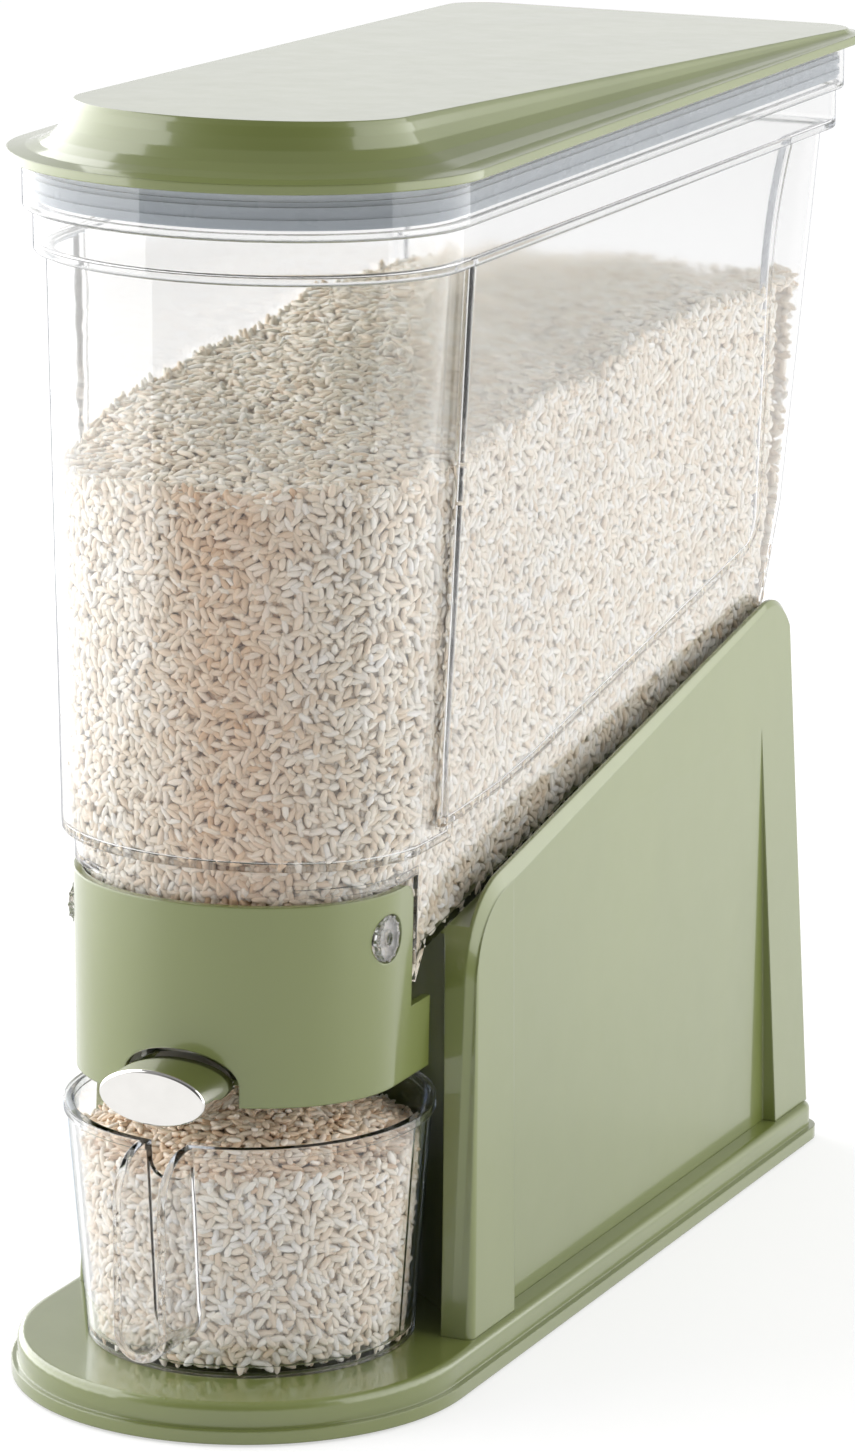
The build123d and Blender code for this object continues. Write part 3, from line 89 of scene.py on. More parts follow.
# Painted shade on the rice, darker and browner, from 0 to 1, and the factors for its outer and inner layer,
# the inner one shaded more
LAYER_PAINTED_SHADE = (0.75, 1.25)
BACK_PAINTED_SHADE = 0.08
TOP_PAINTED_SHADE = 0.16
BED_PAINTED_SHADE = 0.45
CUP_WALL_PAINTED_SHADE = 0.1
CUP_HEAP_PAINTED_SHADE = 0.6
CUP_BED_PAINTED_SHADE = 0.3
# Where the painted shade on the rice is deepest, in degrees right of the front's middle, and how far round it
# spreads
DARKEST_TURN = 17
PAINTED_SHADE_SPREAD = 27

# The rice's surface in the hopper: its height over stations behind the front tip, both in millimetres
SURFACE_STATIONS = (40, 85, 120, 170, 230, 290, 330, 370, 420)
SURFACE_HEIGHTS = (312, 319, 323.5, 328, 333, 337, 336.5, 334.5, 329)
SURFACE_RIPPLE = 1.3 * MM
HEAP_RISE = 3.0 * MM
HEAP_HALF_WIDTH = 0.068
TOP_FIRST_Y = FRONT_Y + 30 * MM
TOP_LAST_Y = FRONT_Y + 405 * MM
TOP_HALF_SPAN = 70 * MM

# The hopper's inside: the centre of its round nose, where its side grains end, and heights used by rays
NOSE_Y = FRONT_Y + 88 * MM
RICE_REAR_Y = FRONT_Y + 385 * MM
ABOVE_RICE_Z = 0.345
PROBE_Z = 0.30
LOWEST_FLOOR_Z = 0.142
SIDEWAYS = 0.999

# Grains against the hopper's back wall
BACK_COLUMNS = 43
BACK_SPAN_MILLIMETRES = 122
BACK_RAYS_Y = FRONT_Y + 300 * MM
BACK_LOW_Z = 0.212

# The rice in the cup
CUP_CENTRE_Y = FRONT_Y + 83.6 * MM
CUP_RICE_RADIUS = 59.6 * MM
CUP_RICE_TAPER = 0.076
CUP_RIM_Z = 97.6 * MM
CUP_RICE_EDGE_Z = 84 * MM
CUP_RICE_PEAK_Z = 102 * MM
CUP_FLOOR_Z = 18.5 * MM

# Clear plastic: its colour for lamps that shine through it, and how much of it is plain see-through edge on,
# tinted darker there as a painted shade
LAMP_TINT = (0.98, 0.98, 0.98, 1.0)
EDGE_SHARE = 0.85


def srgb(red, green, blue):
    """A colour picked in 0-255 screen values, as Blender's linear colour."""
    def linear(value):
        value = value / 255
        return value / 12.92 if value <= 0.04045 else ((value + 0.055) / 1.055) ** 2.4
    return (linear(red), linear(green), linear(blue), 1.0)


def new_material(name):
    """A node material with a Principled shader. Returns the material, its tree and the shader."""
    material = bpy.data.materials.new(name)
    material.use_nodes = True
    tree = material.node_tree
    return material, tree, tree.nodes["Principled BSDF"]


def texture_place(tree, scale=(1, 1, 1)):
    """Object-space coordinates, scaled."""
    place = tree.nodes.new("ShaderNodeTexCoord")
    mapping = tree.nodes.new("ShaderNodeMapping")
    mapping.inputs["Scale"].default_value = scale
    tree.links.new(place.outputs["Object"], mapping.inputs["Vector"])
    return mapping.outputs["Vector"]


def noise(tree, vector, scale, detail, roughness=0.5):
    """A noise texture's factor."""
    node = tree.nodes.new("ShaderNodeTexNoise")
    node.inputs["Scale"].default_value = scale
    node.inputs["Detail"].default_value = detail
    node.inputs["Roughness"].default_value = roughness
    tree.links.new(vector, node.inputs["Vector"])
    return node.outputs["Fac"]


def ramp(tree, factor, stops):
    """A colour ramp through (position, colour) stops."""
    node = tree.nodes.new("ShaderNodeValToRGB")
    elements = node.color_ramp.elements
    elements[0].position, elements[0].color = stops[0]
    elements[1].position, elements[1].color = stops[-1]
    for position, color in stops[1:-1]:
        elements.new(position).color = color
    tree.links.new(factor, node.inputs["Fac"])
    return node.outputs["Color"]


def spread(tree, factor, low, high, start=0.0, end=1.0):
    """Maps a factor from start..end to low..high, held at both ends."""
    node = tree.nodes.new("ShaderNodeMapRange")
    node.inputs["From Min"].default_value = start
    node.inputs["From Max"].default_value = end
    node.inputs["To Min"].default_value = low
    node.inputs["To Max"].default_value = high
    tree.links.new(factor, node.inputs["Value"])
    return node.outputs["Result"]


def calculate(tree, operation, *values):
    """A math node on sockets or numbers."""
    node = tree.nodes.new("ShaderNodeMath")
    node.operation = operation
    for socket, value in zip(node.inputs, values):
        if isinstance(value, (int, float)):
            socket.default_value = value
        else:
            tree.links.new(value, socket)
    return node.outputs["Value"]


def bump(tree, height, strength, distance, edge=0.0):
    """A normal roughened by a height. edge is the radius that sharp edges look rounded to."""
    node = tree.nodes.new("ShaderNodeBump")
    node.inputs["Strength"].default_value = strength
    node.inputs["Distance"].default_value = distance
    tree.links.new(height, node.inputs["Height"])
    if edge:
        rounding = tree.nodes.new("ShaderNodeBevel")
        rounding.samples = 4
        rounding.inputs["Radius"].default_value = edge
        tree.links.new(rounding.outputs["Normal"], node.inputs["Normal"])
    return node.outputs["Normal"]


def with_painted_shade(tree, color, tint):
    """A colour multiplied by a brown tint, as far as the painted shade kept in the mesh says."""
    painted_shade = tree.nodes.new("ShaderNodeAttribute")
    painted_shade.attribute_name = "painted_shade"
    darkening = tree.nodes.new("ShaderNodeMix")
    darkening.data_type = "RGBA"
    darkening.blend_type = "MULTIPLY"
    tree.links.new(painted_shade.outputs["Fac"], darkening.inputs["Factor"])
    tree.links.new(color, darkening.inputs["A"])
    darkening.inputs["B"].default_value = tint
    return darkening.outputs["Result"]


def mix_shaders(tree, factor, first, second, output):
    """Shows the first shader where the factor is 0 and the second where it is 1."""
    mix = tree.nodes.new("ShaderNodeMixShader")
    tree.links.new(factor, mix.inputs["Fac"])
    tree.links.new(first, mix.inputs[1])
    tree.links.new(second, mix.inputs[2])
    tree.links.new(mix.outputs["Shader"], tree.nodes[output].inputs["Surface"])


def moulded_plastic(name, color, shade, roughness, coat):
    """Glossy moulded plastic: faint flow marks in its colour, uneven gloss and a slight ripple."""
    material, tree, shader = new_material(name)
    place = texture_place(tree)
    flow = noise(tree, texture_place(tree, (3, 3, 1)), 6.0, 2.0)
    tree.links.new(ramp(tree, flow, ((0.3, color), (0.75, shade))), shader.inputs["Base Color"])
    wear = noise(tree, place, 60.0, 5.0, 0.65)
    tree.links.new(spread(tree, wear, roughness * 0.8, roughness * 1.25), shader.inputs["Roughness"])
    normal = bump(tree, noise(tree, place, 38.0, 2.0), strength=0.05, distance=0.5 * MM, edge=0.9 * MM)
    tree.links.new(normal, shader.inputs["Normal"])
    shader.inputs["IOR"].default_value = 1.5
    if coat:
        tree.links.new(normal, shader.inputs["Coat Normal"])
        shader.inputs["Coat Weight"].default_value = coat
        shader.inputs["Coat Roughness"].default_value = 0.09
        shader.inputs["Coat IOR"].default_value = 1.55
    return material


def clear_plastic(name, tint, edge, roughness, side_haze):
    """Clear moulded plastic, hazier on its flat sides, with a painted shade where it is seen edge on: a
    darker see-through tint there.

    Lamps shine through it, so that what it holds is lit.
    """
    material, tree, shader = new_material(name)
    shader.inputs["Base Color"].default_value = tint
    shader.inputs["IOR"].default_value = 1.5
    shader.inputs["Transmission Weight"].default_value = 1.0

    place = texture_place(tree)
    facing = tree.nodes.new("ShaderNodeTexCoord")
    parts = tree.nodes.new("ShaderNodeSeparateXYZ")
    tree.links.new(facing.outputs["Normal"], parts.inputs["Vector"])
    sideways = calculate(tree, "ABSOLUTE", parts.outputs["X"])
    haze = spread(tree, sideways, 0.0, side_haze, start=0.8, end=0.99)
    smear = spread(tree, noise(tree, place, 14.0, 3.0), roughness * 0.5, roughness * 1.6)
    tree.links.new(calculate(tree, "ADD", smear, haze), shader.inputs["Roughness"])
    normal = bump(tree, noise(tree, place, 22.0, 1.0), strength=0.03, distance=0.5 * MM, edge=0.7 * MM)
    tree.links.new(normal, shader.inputs["Normal"])

    through = tree.nodes.new("ShaderNodeBsdfTransparent")
    rays = tree.nodes.new("ShaderNodeLightPath")
    lamp_ray = rays.outputs["Is Shadow Ray"]
    # painted shade: edge on, a share of the plastic is a straight see-through tint of the edge colour, which
    # darkens what lies behind
    tree.links.new(ramp(tree, lamp_ray, ((0.0, edge), (1.0, LAMP_TINT))), through.inputs["Color"])
    turned = tree.nodes.new("ShaderNodeLayerWeight")
    edge_on = spread(tree, turned.outputs["Facing"], 0.0, EDGE_SHARE, start=0.78, end=0.96)
    factor = calculate(tree, "MAXIMUM", lamp_ray, edge_on)
    mix_shaders(tree, factor, shader.outputs["BSDF"], through.outputs["BSDF"], "Material Output")
    return material


def frosted_plastic(name):
    """Milky translucent plastic."""
    material, tree, shader = new_material(name)
    cloud = noise(tree, texture_place(tree), 30.0, 3.0)
    milky = ramp(tree, cloud, ((0.3, srgb(204, 213, 222)), (0.7, srgb(216, 223, 230))))
    tree.links.new(milky, shader.inputs["Base Color"])
    tree.links.new(spread(tree, cloud, 0.3, 0.45), shader.inputs["Roughness"])
    shader.inputs["Transmission Weight"].default_value = 0.45
    shader.inputs["IOR"].default_value = 1.45
    return material


def rubber(name, color, shade, roughness):
    """Soft rubber or silicone with a fine grain."""
    material, tree, shader = new_material(name)
    place = texture_place(tree)
    cloud = noise(tree, place, 45.0, 4.0)
    tree.links.new(ramp(tree, cloud, ((0.3, color), (0.7, shade))), shader.inputs["Base Color"])
    tree.links.new(spread(tree, cloud, roughness * 0.85, roughness * 1.1), shader.inputs["Roughness"])
    normal = bump(tree, noise(tree, place, 900.0, 3.0), strength=0.15, distance=0.1 * MM)
    tree.links.new(normal, shader.inputs["Normal"])
    return material


def bright_metal(name, color, roughness, grain):
    """Plated or turned metal with faint polishing marks."""
    material, tree, shader = new_material(name)
    shader.inputs["Metallic"].default_value = 1.0
    streak = noise(tree, texture_place(tree, (1, 6, 1)), grain, 3.0)
    darker = tuple(0.93 * part for part in color[:3]) + (1.0,)
    tree.links.new(ramp(tree, streak, ((0.2, color), (0.8, darker))), shader.inputs["Base Color"])
    tree.links.new(spread(tree, streak, roughness * 0.7, roughness * 1.3), shader.inputs["Roughness"])
    return material


def rice_grain(name):
    """Polished rice: each grain is more or less chalky, and darker and browner by a painted shade, by numbers
    kept in its mesh.
    """
    material, tree, shader = new_material(name)
    chalk = tree.nodes.new("ShaderNodeAttribute")
    chalk.attribute_name = "chalk"
    pale = ramp(tree, chalk.outputs["Fac"], (
        (0.0, srgb(234, 216, 192)),
        (0.5, srgb(250, 241, 225)),
        (1.0, srgb(255, 253, 248)),
    ))
    # painted shade: the grain darker and browner as far as its mesh says
    tree.links.new(with_painted_shade(tree, pale, (0.77, 0.58, 0.43, 1.0)), shader.inputs["Base Color"])
    gloss = noise(tree, texture_place(tree), 900.0, 2.0)
    tree.links.new(spread(tree, gloss, 0.22, 0.4), shader.inputs["Roughness"])
    shader.inputs["Subsurface Weight"].default_value = 0.3
    shader.inputs["Subsurface Radius"].default_value = (1.0, 0.92, 0.84)
    shader.inputs["Subsurface Scale"].default_value = 0.6 * MM
    return material


def rice_bed(name):
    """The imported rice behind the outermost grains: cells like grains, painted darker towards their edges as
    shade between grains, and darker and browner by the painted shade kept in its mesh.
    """
    material, tree, shader = new_material(name)
    cells = tree.nodes.new("ShaderNodeTexVoronoi")
    cells.inputs["Scale"].default_value = 330.0
    tree.links.new(texture_place(tree), cells.inputs["Vector"])
    # painted shade between grains: darker towards the cells' edges
    pale = ramp(tree, cells.outputs["Distance"], ((0.0, srgb(250, 240, 224)), (1.0, srgb(226, 208, 184))))
    tree.links.new(with_painted_shade(tree, pale, (0.34, 0.2, 0.11, 1.0)), shader.inputs["Base Color"])
    normal = bump(tree, cells.outputs["Distance"], strength=0.6, distance=1.0 * MM)
    tree.links.new(normal, shader.inputs["Normal"])
    shader.inputs["Roughness"].default_value = 0.6
    return material


GREEN = moulded_plastic("green_moulding", srgb(109, 118, 62), srgb(103, 112, 58), roughness=0.3, coat=0.9)
GREEN_INNER = moulded_plastic("green_gate", srgb(122, 130, 82), srgb(114, 123, 76), roughness=0.4, coat=0.0)
WHITE = moulded_plastic("white_moulding", srgb(226, 227, 222), srgb(218, 219, 213), roughness=0.4, coat=0.0)
CLEAR = clear_plastic(
    "clear_moulding",
    tint=(0.94, 0.94, 0.94, 1.0),
    # the tint of the painted shade where the plastic is seen edge on
    edge=(0.45, 0.47, 0.51, 1.0),
    roughness=0.012,
    side_haze=0.05,
)
CUP_CLEAR = clear_plastic(
    "clear_cup",
    tint=(0.96, 0.965, 0.975, 1.0),
    # the tint of the painted shade where the plastic is seen edge on
    edge=(0.8, 0.84, 0.91, 1.0),
    roughness=0.015,
    side_haze=0.0,
)
FROSTED = frosted_plastic("frosted_liner")
SEAL = rubber("grey_silicone", srgb(170, 179, 187), srgb(162, 171, 180), roughness=0.28)
FEET_RUBBER = rubber("dark_rubber", srgb(52, 52, 51), srgb(44, 44, 43), roughness=0.7)
CHROME = bright_metal("bright_plating", (0.76, 0.745, 0.72, 1.0), roughness=0.06, grain=90.0)
STEEL = bright_metal("zinc_steel", (0.62, 0.62, 0.63, 1.0), roughness=0.28, grain=220.0)
RICE = rice_grain("rice_grain")
RICE_BED = rice_bed("rice_bed")

FINISH = {
    "base_plate": GREEN, "stand": GREEN, "front_cover": GREEN, "lid": GREEN,
    "gate_slide": GREEN_INNER, "outlet_chute": WHITE, "gate_guide": WHITE,
    "hopper": CLEAR, "cover_pegs": CLEAR, "measuring_cup": CUP_CLEAR,
    "lid_liner": FROSTED, "lid_seal": SEAL, "outlet_gasket": SEAL, "gate_wiper": SEAL,
    "base_feet": FEET_RUBBER, "button_cap": CHROME,
    "base_screws": STEEL, "chute_screws": STEEL, "guide_screws": STEEL, "return_springs": STEEL,
}


def dress_nodes():
    """Gives each CAD node its material."""
    for name, material in FINISH.items():
        node = NODES[name]
        node.data.materials.clear()
        node.data.materials.append(material)


def new_object(name, data):
    """An object in the scene, made from a mesh, lamp or camera."""
    thing = bpy.data.objects.new(name, data)
    bpy.context.scene.collection.objects.link(thing)
    return thing


def mesh_object(name, vertices, faces, material, smooth=True):
    """A mesh object made from a list of vertices and faces."""
    mesh = bpy.data.meshes.new(name)
    mesh.from_pydata([tuple(v) for v in vertices], [], [tuple(f) for f in faces])
    mesh.materials.append(material)
    if smooth:
        mesh.shade_smooth()
    return new_object(name, mesh)


def keep_numbers(mesh, name, values):
    """Keeps one number per vertex in a mesh, for its material."""
    attribute = mesh.attributes.new(name, "FLOAT", "POINT")
    attribute.data.foreach_set("value", np.asarray(values, dtype=np.float32))


def ring_faces(rows, count):
    """Faces between rows of points that follow each other, each row a closed ring of count points."""
    faces = []
    for row in range(rows):
        for k in range(count):
            a, b = row * count + k, row * count + (k + 1) % count
            faces.append((a, b, b + count, a + count))
    return faces


def grain_template():
    """One rice grain, a plump oval a little blunter at one end: four rings of six and two tips."""
    rings = ((-0.43, 0.50), (-0.2, 0.94), (0.14, 0.98), (0.40, 0.58))
    sides = 6
    points = [(-0.5, 0.0, 0.0)]
    for along, girth in rings:
        for k in range(sides):
            angle = 2 * pi * k / sides
            points.append((along, 0.5 * girth * cos(angle), 0.5 * girth * sin(angle)))
    points.append((0.5, 0.04, 0.0))
    last = len(points) - 1
    faces = []
    for k in range(sides):
        nxt = (k + 1) % sides
        faces.append((0, 1 + nxt, 1 + k))
        for ring in range(len(rings) - 1):
            a, b = 1 + ring * sides + k, 1 + ring * sides + nxt
            c, d = a + sides, b + sides
            faces.append((a, b, d))
            faces.append((a, d, c))
        first = 1 + (len(rings) - 1) * sides
        faces.append((first + k, first + nxt, last))
    return np.array(points), np.array(faces)


def grains(name, spots, rng, tilt, body):
    """Rice grains in one mesh riding on a body. A spot is (x, y, z, normal x, y, z, painted shade)."""
    points, faces = grain_template()
    centres, normals, painted_shade = spots[:, :3], spots[:, 3:6], spots[:, 6]
    count = len(centres)
    size = np.stack([
        GRAIN_LENGTH * rng.normal(1.0, 0.12, count).clip(0.6, 1.25),
        GRAIN_WIDTH * rng.normal(1.0, 0.07, count),
        GRAIN_THICKNESS * rng.normal(1.0, 0.07, count),
    ], axis=1)
    normals = normals / np.linalg.norm(normals, axis=1, keepdims=True)
    helper = np.where(np.abs(normals[:, 2:3]) < 0.9, [[0.0, 0.0, 1.0]], [[1.0, 0.0, 0.0]])
    side = np.cross(helper, normals)
    side /= np.linalg.norm(side, axis=1, keepdims=True)
    up = np.cross(normals, side)
    turn = rng.uniform(0, 2 * pi, count)[:, None]
    along = np.cos(turn) * side + np.sin(turn) * up + normals * rng.normal(0, tilt, count)[:, None]
    along /= np.linalg.norm(along, axis=1, keepdims=True)
    across = np.cross(normals, along)
    across /= np.linalg.norm(across, axis=1, keepdims=True)
    deep = np.cross(along, across)
    scaled = points[None] * size[:, None]
    vertices = (scaled[:, :, 0:1] * along[:, None] + scaled[:, :, 1:2] * across[:, None]
                + scaled[:, :, 2:3] * deep[:, None] + centres[:, None])
    all_faces = faces[None] + (np.arange(count) * len(points))[:, None, None]
    mesh = bpy.data.meshes.new(name)
    flat_vertices = vertices.reshape(-1, 3)
    flat_faces = all_faces.reshape(-1, 3)
    mesh.vertices.add(len(flat_vertices))
    mesh.vertices.foreach_set("co", flat_vertices.ravel())
    mesh.loops.add(flat_faces.size)
    mesh.loops.foreach_set("vertex_index", flat_faces.ravel().astype(np.int32))
    mesh.polygons.add(len(flat_faces))
    mesh.polygons.foreach_set("loop_start", np.arange(0, flat_faces.size, 3, dtype=np.int32))
    mesh.update(calc_edges=True)
    mesh.shade_smooth()
    chalk = rng.beta(1.7, 1.7, count)
    # each grain's painted shade, varied a little from grain to grain
    darkening = (painted_shade * rng.normal(1.0, 0.25, count)).clip(0, 1)
    keep_numbers(mesh, "chalk", np.repeat(chalk, len(points)))
    keep_numbers(mesh, "painted_shade", np.repeat(darkening, len(points)))
    mesh.materials.append(RICE)
    thing = new_object(name, mesh)
    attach(thing, body)


def grain_pieces(name, spots, rng, tilt, body):
    """Grains in as few pieces as keep each one light, numbered where there are several."""
    table = np.array(spots)
    parts = -(-len(table) // GRAINS_IN_A_PIECE)
    for number, part in enumerate(np.array_split(table, parts), start=1):
        piece_name = name if parts == 1 else f"{name}_{number}"
        grains(piece_name, part, rng, tilt, body)


def surface_height(x, y):
    """Height of the rice in the hopper at (x, y)."""
    station = (y - FRONT_Y) / MM
    level = np.interp(station, SURFACE_STATIONS, SURFACE_HEIGHTS) * MM
    ripple = SURFACE_RIPPLE * (np.sin(x * 95 + station * 0.05) + np.cos(station * 0.083 + x * 60))
    return level + HEAP_RISE * (1 - (x / HEAP_HALF_WIDTH) ** 2) + ripple


HOPPER_WALLS = BVHTree.FromPolygons(
    [v.co.copy() for v in NODES["hopper"].data.vertices],
    [tuple(p.vertices) for p in NODES["hopper"].data.polygons],
)


def wall_rays(side_step, nose_steps):
    """Rays from the hopper's middle plane to its walls in plan, each as its start's y and its direction.

    They go from the left side's back round the nose to the right side's back.
    """
    side_count = int((RICE_REAR_Y - NOSE_Y) / side_step)
    left = [(NOSE_Y + k * side_step, Vector((-1, 0, 0))) for k in range(side_count, 0, -1)]
    nose = []
    for k in range(nose_steps + 1):
        angle = pi + pi * k / nose_steps
        nose.append((NOSE_Y, Vector((cos(angle), sin(angle), 0))))
    right = [(start_y, -direction) for start_y, direction in reversed(left)]
    return left + nose + right


def wall_point(start_y, direction, z):
    """The inner face of the hopper's wall seen from its middle plane at height z, or None."""
    return HOPPER_WALLS.ray_cast(Vector((0, start_y, z)), direction)[0]


def floor_height(y):
    """Height of the hopper's inner floor on its middle line."""
    place = HOPPER_WALLS.ray_cast(Vector((0, y, PROBE_Z)), Vector((0, 0, -1)))[0]
    return place.z if place is not None else LOWEST_FLOOR_Z


def painted_shade_at(direction):
    """Painted shade, darker and browner, on the rice behind a part of the wall: most a little right of the
    front's middle.
    """
    turn = degrees(atan2(direction.x, -direction.y))
    return 0.06 + 0.94 * exp(-((turn - DARKEST_TURN) / PAINTED_SHADE_SPREAD) ** 2)


def scatter_sides(rng, layer, groups):
    """Adds one layer of grain spots against the hopper's nose and flat sides to their groups."""
    depth = WALL_GAP + layer * LAYER_STEP
    for start_y, direction in wall_rays(side_step=GRAIN_STEP, nose_steps=68):
        z = floor_height(start_y) + FLOOR_GAP
        while z < ABOVE_RICE_Z:
            jitter_z = z + rng.uniform(-0.5, 0.5) * GRAIN_STEP
            jitter_y = start_y + rng.uniform(-1.0, 1.0) * MM
            place = wall_point(jitter_y, direction, jitter_z)
            z += GRAIN_STEP
            if place is None:
                continue
            spot = place - direction * (depth + rng.uniform(0, WALL_SCATTER_MILLIMETRES) * MM)
            if spot.z > surface_height(spot.x, spot.y) + SURFACE_SLACK:
                continue
            key = "front"
            if abs(direction.x) > SIDEWAYS:
                key = "right" if direction.x > 0 else "left"
            groups[key].append((*spot, *-direction, painted_shade_at(direction) * LAYER_PAINTED_SHADE[layer]))


def scatter_back(rng, layer, spots):
    """Adds one layer of grain spots against the hopper's back wall."""
    depth = WALL_GAP + layer * LAYER_STEP
    for column in range(BACK_COLUMNS):
        x = (column / (BACK_COLUMNS - 1) - 0.5) * BACK_SPAN_MILLIMETRES * MM
        z = BACK_LOW_Z
        while z < ABOVE_RICE_Z:
            start = Vector((
                x + rng.uniform(-1, 1) * MM,
                BACK_RAYS_Y,
                z + rng.uniform(-0.5, 0.5) * GRAIN_STEP,
            ))
            place = HOPPER_WALLS.ray_cast(start, Vector((0, 1, 0)))[0]
            z += GRAIN_STEP
            if place is None:
                continue
            spot = place - Vector((0, depth + rng.uniform(0, WALL_SCATTER_MILLIMETRES) * MM, 0))
            if spot.z < surface_height(spot.x, spot.y) + SURFACE_SLACK:
                spots.append((*spot, 0, -1, 0, BACK_PAINTED_SHADE))


def scattered_walls(rng):
    """Grain spots against the hopper's walls, grouped as front, right, left and back."""
    groups = {"front": [], "right": [], "left": [], "back": []}
    for layer in range(GRAIN_LAYERS):
        scatter_sides(rng, layer, groups)
        scatter_back(rng, layer, groups["back"])
    return groups


def scattered_top(rng):
    """Grain spots on the rice's top surface in the hopper."""
    spots = []
    y = TOP_FIRST_Y
    while y < TOP_LAST_Y:
        x = -TOP_HALF_SPAN
        while x < TOP_HALF_SPAN:
            spot_x = x + rng.uniform(-0.5, 0.5) * GRAIN_STEP
            spot_y = y + rng.uniform(-0.5, 0.5) * GRAIN_STEP
            x += GRAIN_STEP
            z = surface_height(spot_x, spot_y)
            if not inside_hopper(spot_x, spot_y, z):
                continue
            for layer in range(GRAIN_LAYERS):
                drop = layer * TOP_LAYER_STEP + rng.uniform(-0.6, 0.8) * MM
                spots.append((spot_x, spot_y, z - drop, 0, 0, 1, TOP_PAINTED_SHADE * LAYER_PAINTED_SHADE[layer]))
        y += GRAIN_STEP
    return spots


def inside_hopper(x, y, z):
    """True where the centre of a grain at (x, y, z) is clear of the hopper's walls."""
    if y > NOSE_Y:
        wall = wall_point(y, Vector((1, 0, 0)), z)
        return wall is not None and abs(x) < wall.x - TOP_WALL_GAP
    away = Vector((x, y - NOSE_Y, 0))
    if away.length < TOP_WALL_GAP:
        return True
    wall = wall_point(NOSE_Y, away.normalized(), z)
    return wall is not None and away.length < (Vector((wall.x, wall.y - NOSE_Y, 0))).length - TOP_WALL_GAP


def bed_cap(vertices, faces, first, count, is_top):
    """Closes one end of the hopper's bed, whose ring of count points starts at first."""
    across = 10
    half = count // 2
    grid = []
    for k in range(half):
        left, right = vertices[first + k], vertices[first + count - 1 - k]
        line = [first + k]
        for step in range(1, across):
            spot = Vector(left).lerp(Vector(right), step / across)
            if is_top:
                spot.z = surface_height(spot.x, spot.y) - BED_TOP_GAP
            line.append(len(vertices))
            vertices.append(spot)
        line.append(first + count - 1 - k)
        grid.append(line)
    for k in range(half - 1):
        for step in range(across):
            corners = (grid[k][step], grid[k][step + 1], grid[k + 1][step + 1], grid[k + 1][step])
            faces.append(corners if is_top else corners[::-1])
    tip = list(grid[-1])
    if count % 2:
        tip.append(first + half)
    faces.append(tuple(tip) if is_top else tuple(reversed(tip)))


def hopper_bed():
    """A closed body of rice just inside the grains against the walls, with the rice's own top."""
    rays = wall_rays(side_step=8 * MM, nose_steps=24)
    rows = 22
    count = len(rays)
    vertices = []
    for row in range(rows + 1):
        for start_y, direction in rays:
            low = floor_height(start_y) + 0.5 * MM
            probe = wall_point(start_y, direction, PROBE_Z)
            high = surface_height(probe.x, probe.y) - BED_TOP_GAP
            z = low + (high - low) * row / rows
            place = wall_point(start_y, direction, z)
            if place is None:
                place = Vector((0, start_y, z)) + direction * 50 * MM
            vertices.append(place - direction * BED_GAP)
    faces = ring_faces(rows, count)
    bed_cap(vertices, faces, 0, count, is_top=False)
    bed_cap(vertices, faces, rows * count, count, is_top=True)
    bed = mesh_object("rice_bed_in_hopper", vertices, faces, RICE_BED)
    # painted shade on the bed: by direction round its walls, and a set amount on its ends
    wall_painted_shade = [painted_shade_at(direction) for _, direction in rays] * (rows + 1)
    cap_painted_shade = [BED_PAINTED_SHADE] * (len(vertices) - len(wall_painted_shade))
    keep_numbers(bed.data, "painted_shade", wall_painted_shade + cap_painted_shade)
    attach(bed, "hopper_unit")


def rice_in_hopper():
    """All the rice in the hopper, riding with it."""
    rng = np.random.default_rng(HOPPER_SEED)
    hopper_bed()
    groups = scattered_walls(rng)
    groups["top"] = scattered_top(rng)
    for side, spots in groups.items():
        grain_pieces(f"rice_{side}", spots, rng, 0.2, "hopper_unit")


def cup_radius(z):
    """Radius of the rice against the cup's wall at height z."""
    return CUP_RICE_RADIUS - CUP_RICE_TAPER * (CUP_RIM_Z - z)


def cup_rice_height(radius_share):
    """Height of the heaped rice in the cup at a share of its radius."""
    return CUP_RICE_EDGE_Z + (CUP_RICE_PEAK_Z - CUP_RICE_EDGE_Z) * (1 - radius_share ** 1.8)


def cup_wall_spots(rng):
    """Grain spots against the cup's wall, from its floor to the heap's edge."""
    spots = []
    for layer in range(GRAIN_LAYERS):
        painted_shade = CUP_WALL_PAINTED_SHADE * LAYER_PAINTED_SHADE[layer]
        z = CUP_FLOOR_Z + CUP_FLOOR_GAP
        while z < CUP_RICE_EDGE_Z:
            radius = cup_radius(z) - WALL_GAP - layer * LAYER_STEP
            count = int(2 * pi * radius / GRAIN_STEP)
            for k in range(count):
                angle = 2 * pi * (k + rng.uniform(-0.4, 0.4)) / count
                away = Vector((cos(angle), sin(angle), 0))
                spot = away * (radius - rng.uniform(0, WALL_SCATTER_MILLIMETRES) * MM)
                height = z + rng.uniform(-0.5, 0.5) * GRAIN_STEP
                spots.append((spot.x, CUP_CENTRE_Y + spot.y, height, -away.x, -away.y, 0, painted_shade))
            z += GRAIN_STEP
    return spots


def cup_heap_spots(rng, heap_radius):
    """Grain spots on the heap in the cup, in rings round its middle."""
    spots = []
    step = GRAIN_STEP * 0.9
    for ring in range(int(heap_radius / step) + 1):
        radius = ring * step
        count = max(1, int(2 * pi * radius / step))
        for k in range(count):
            for layer in range(GRAIN_LAYERS):
                painted_shade = CUP_HEAP_PAINTED_SHADE * LAYER_PAINTED_SHADE[layer]
                angle = 2 * pi * (k + rng.uniform(-0.4, 0.4)) / count
                spot_radius = min(heap_radius, radius + rng.uniform(-0.5, 0.5) * step)
                z = cup_rice_height(spot_radius / heap_radius) - layer * TOP_LAYER_STEP
                z += rng.uniform(-0.9, 0.7) * MM
                y = CUP_CENTRE_Y + spot_radius * sin(angle)
                spots.append((spot_radius * cos(angle), y, z, 0, 0, 1, painted_shade))
    return spots


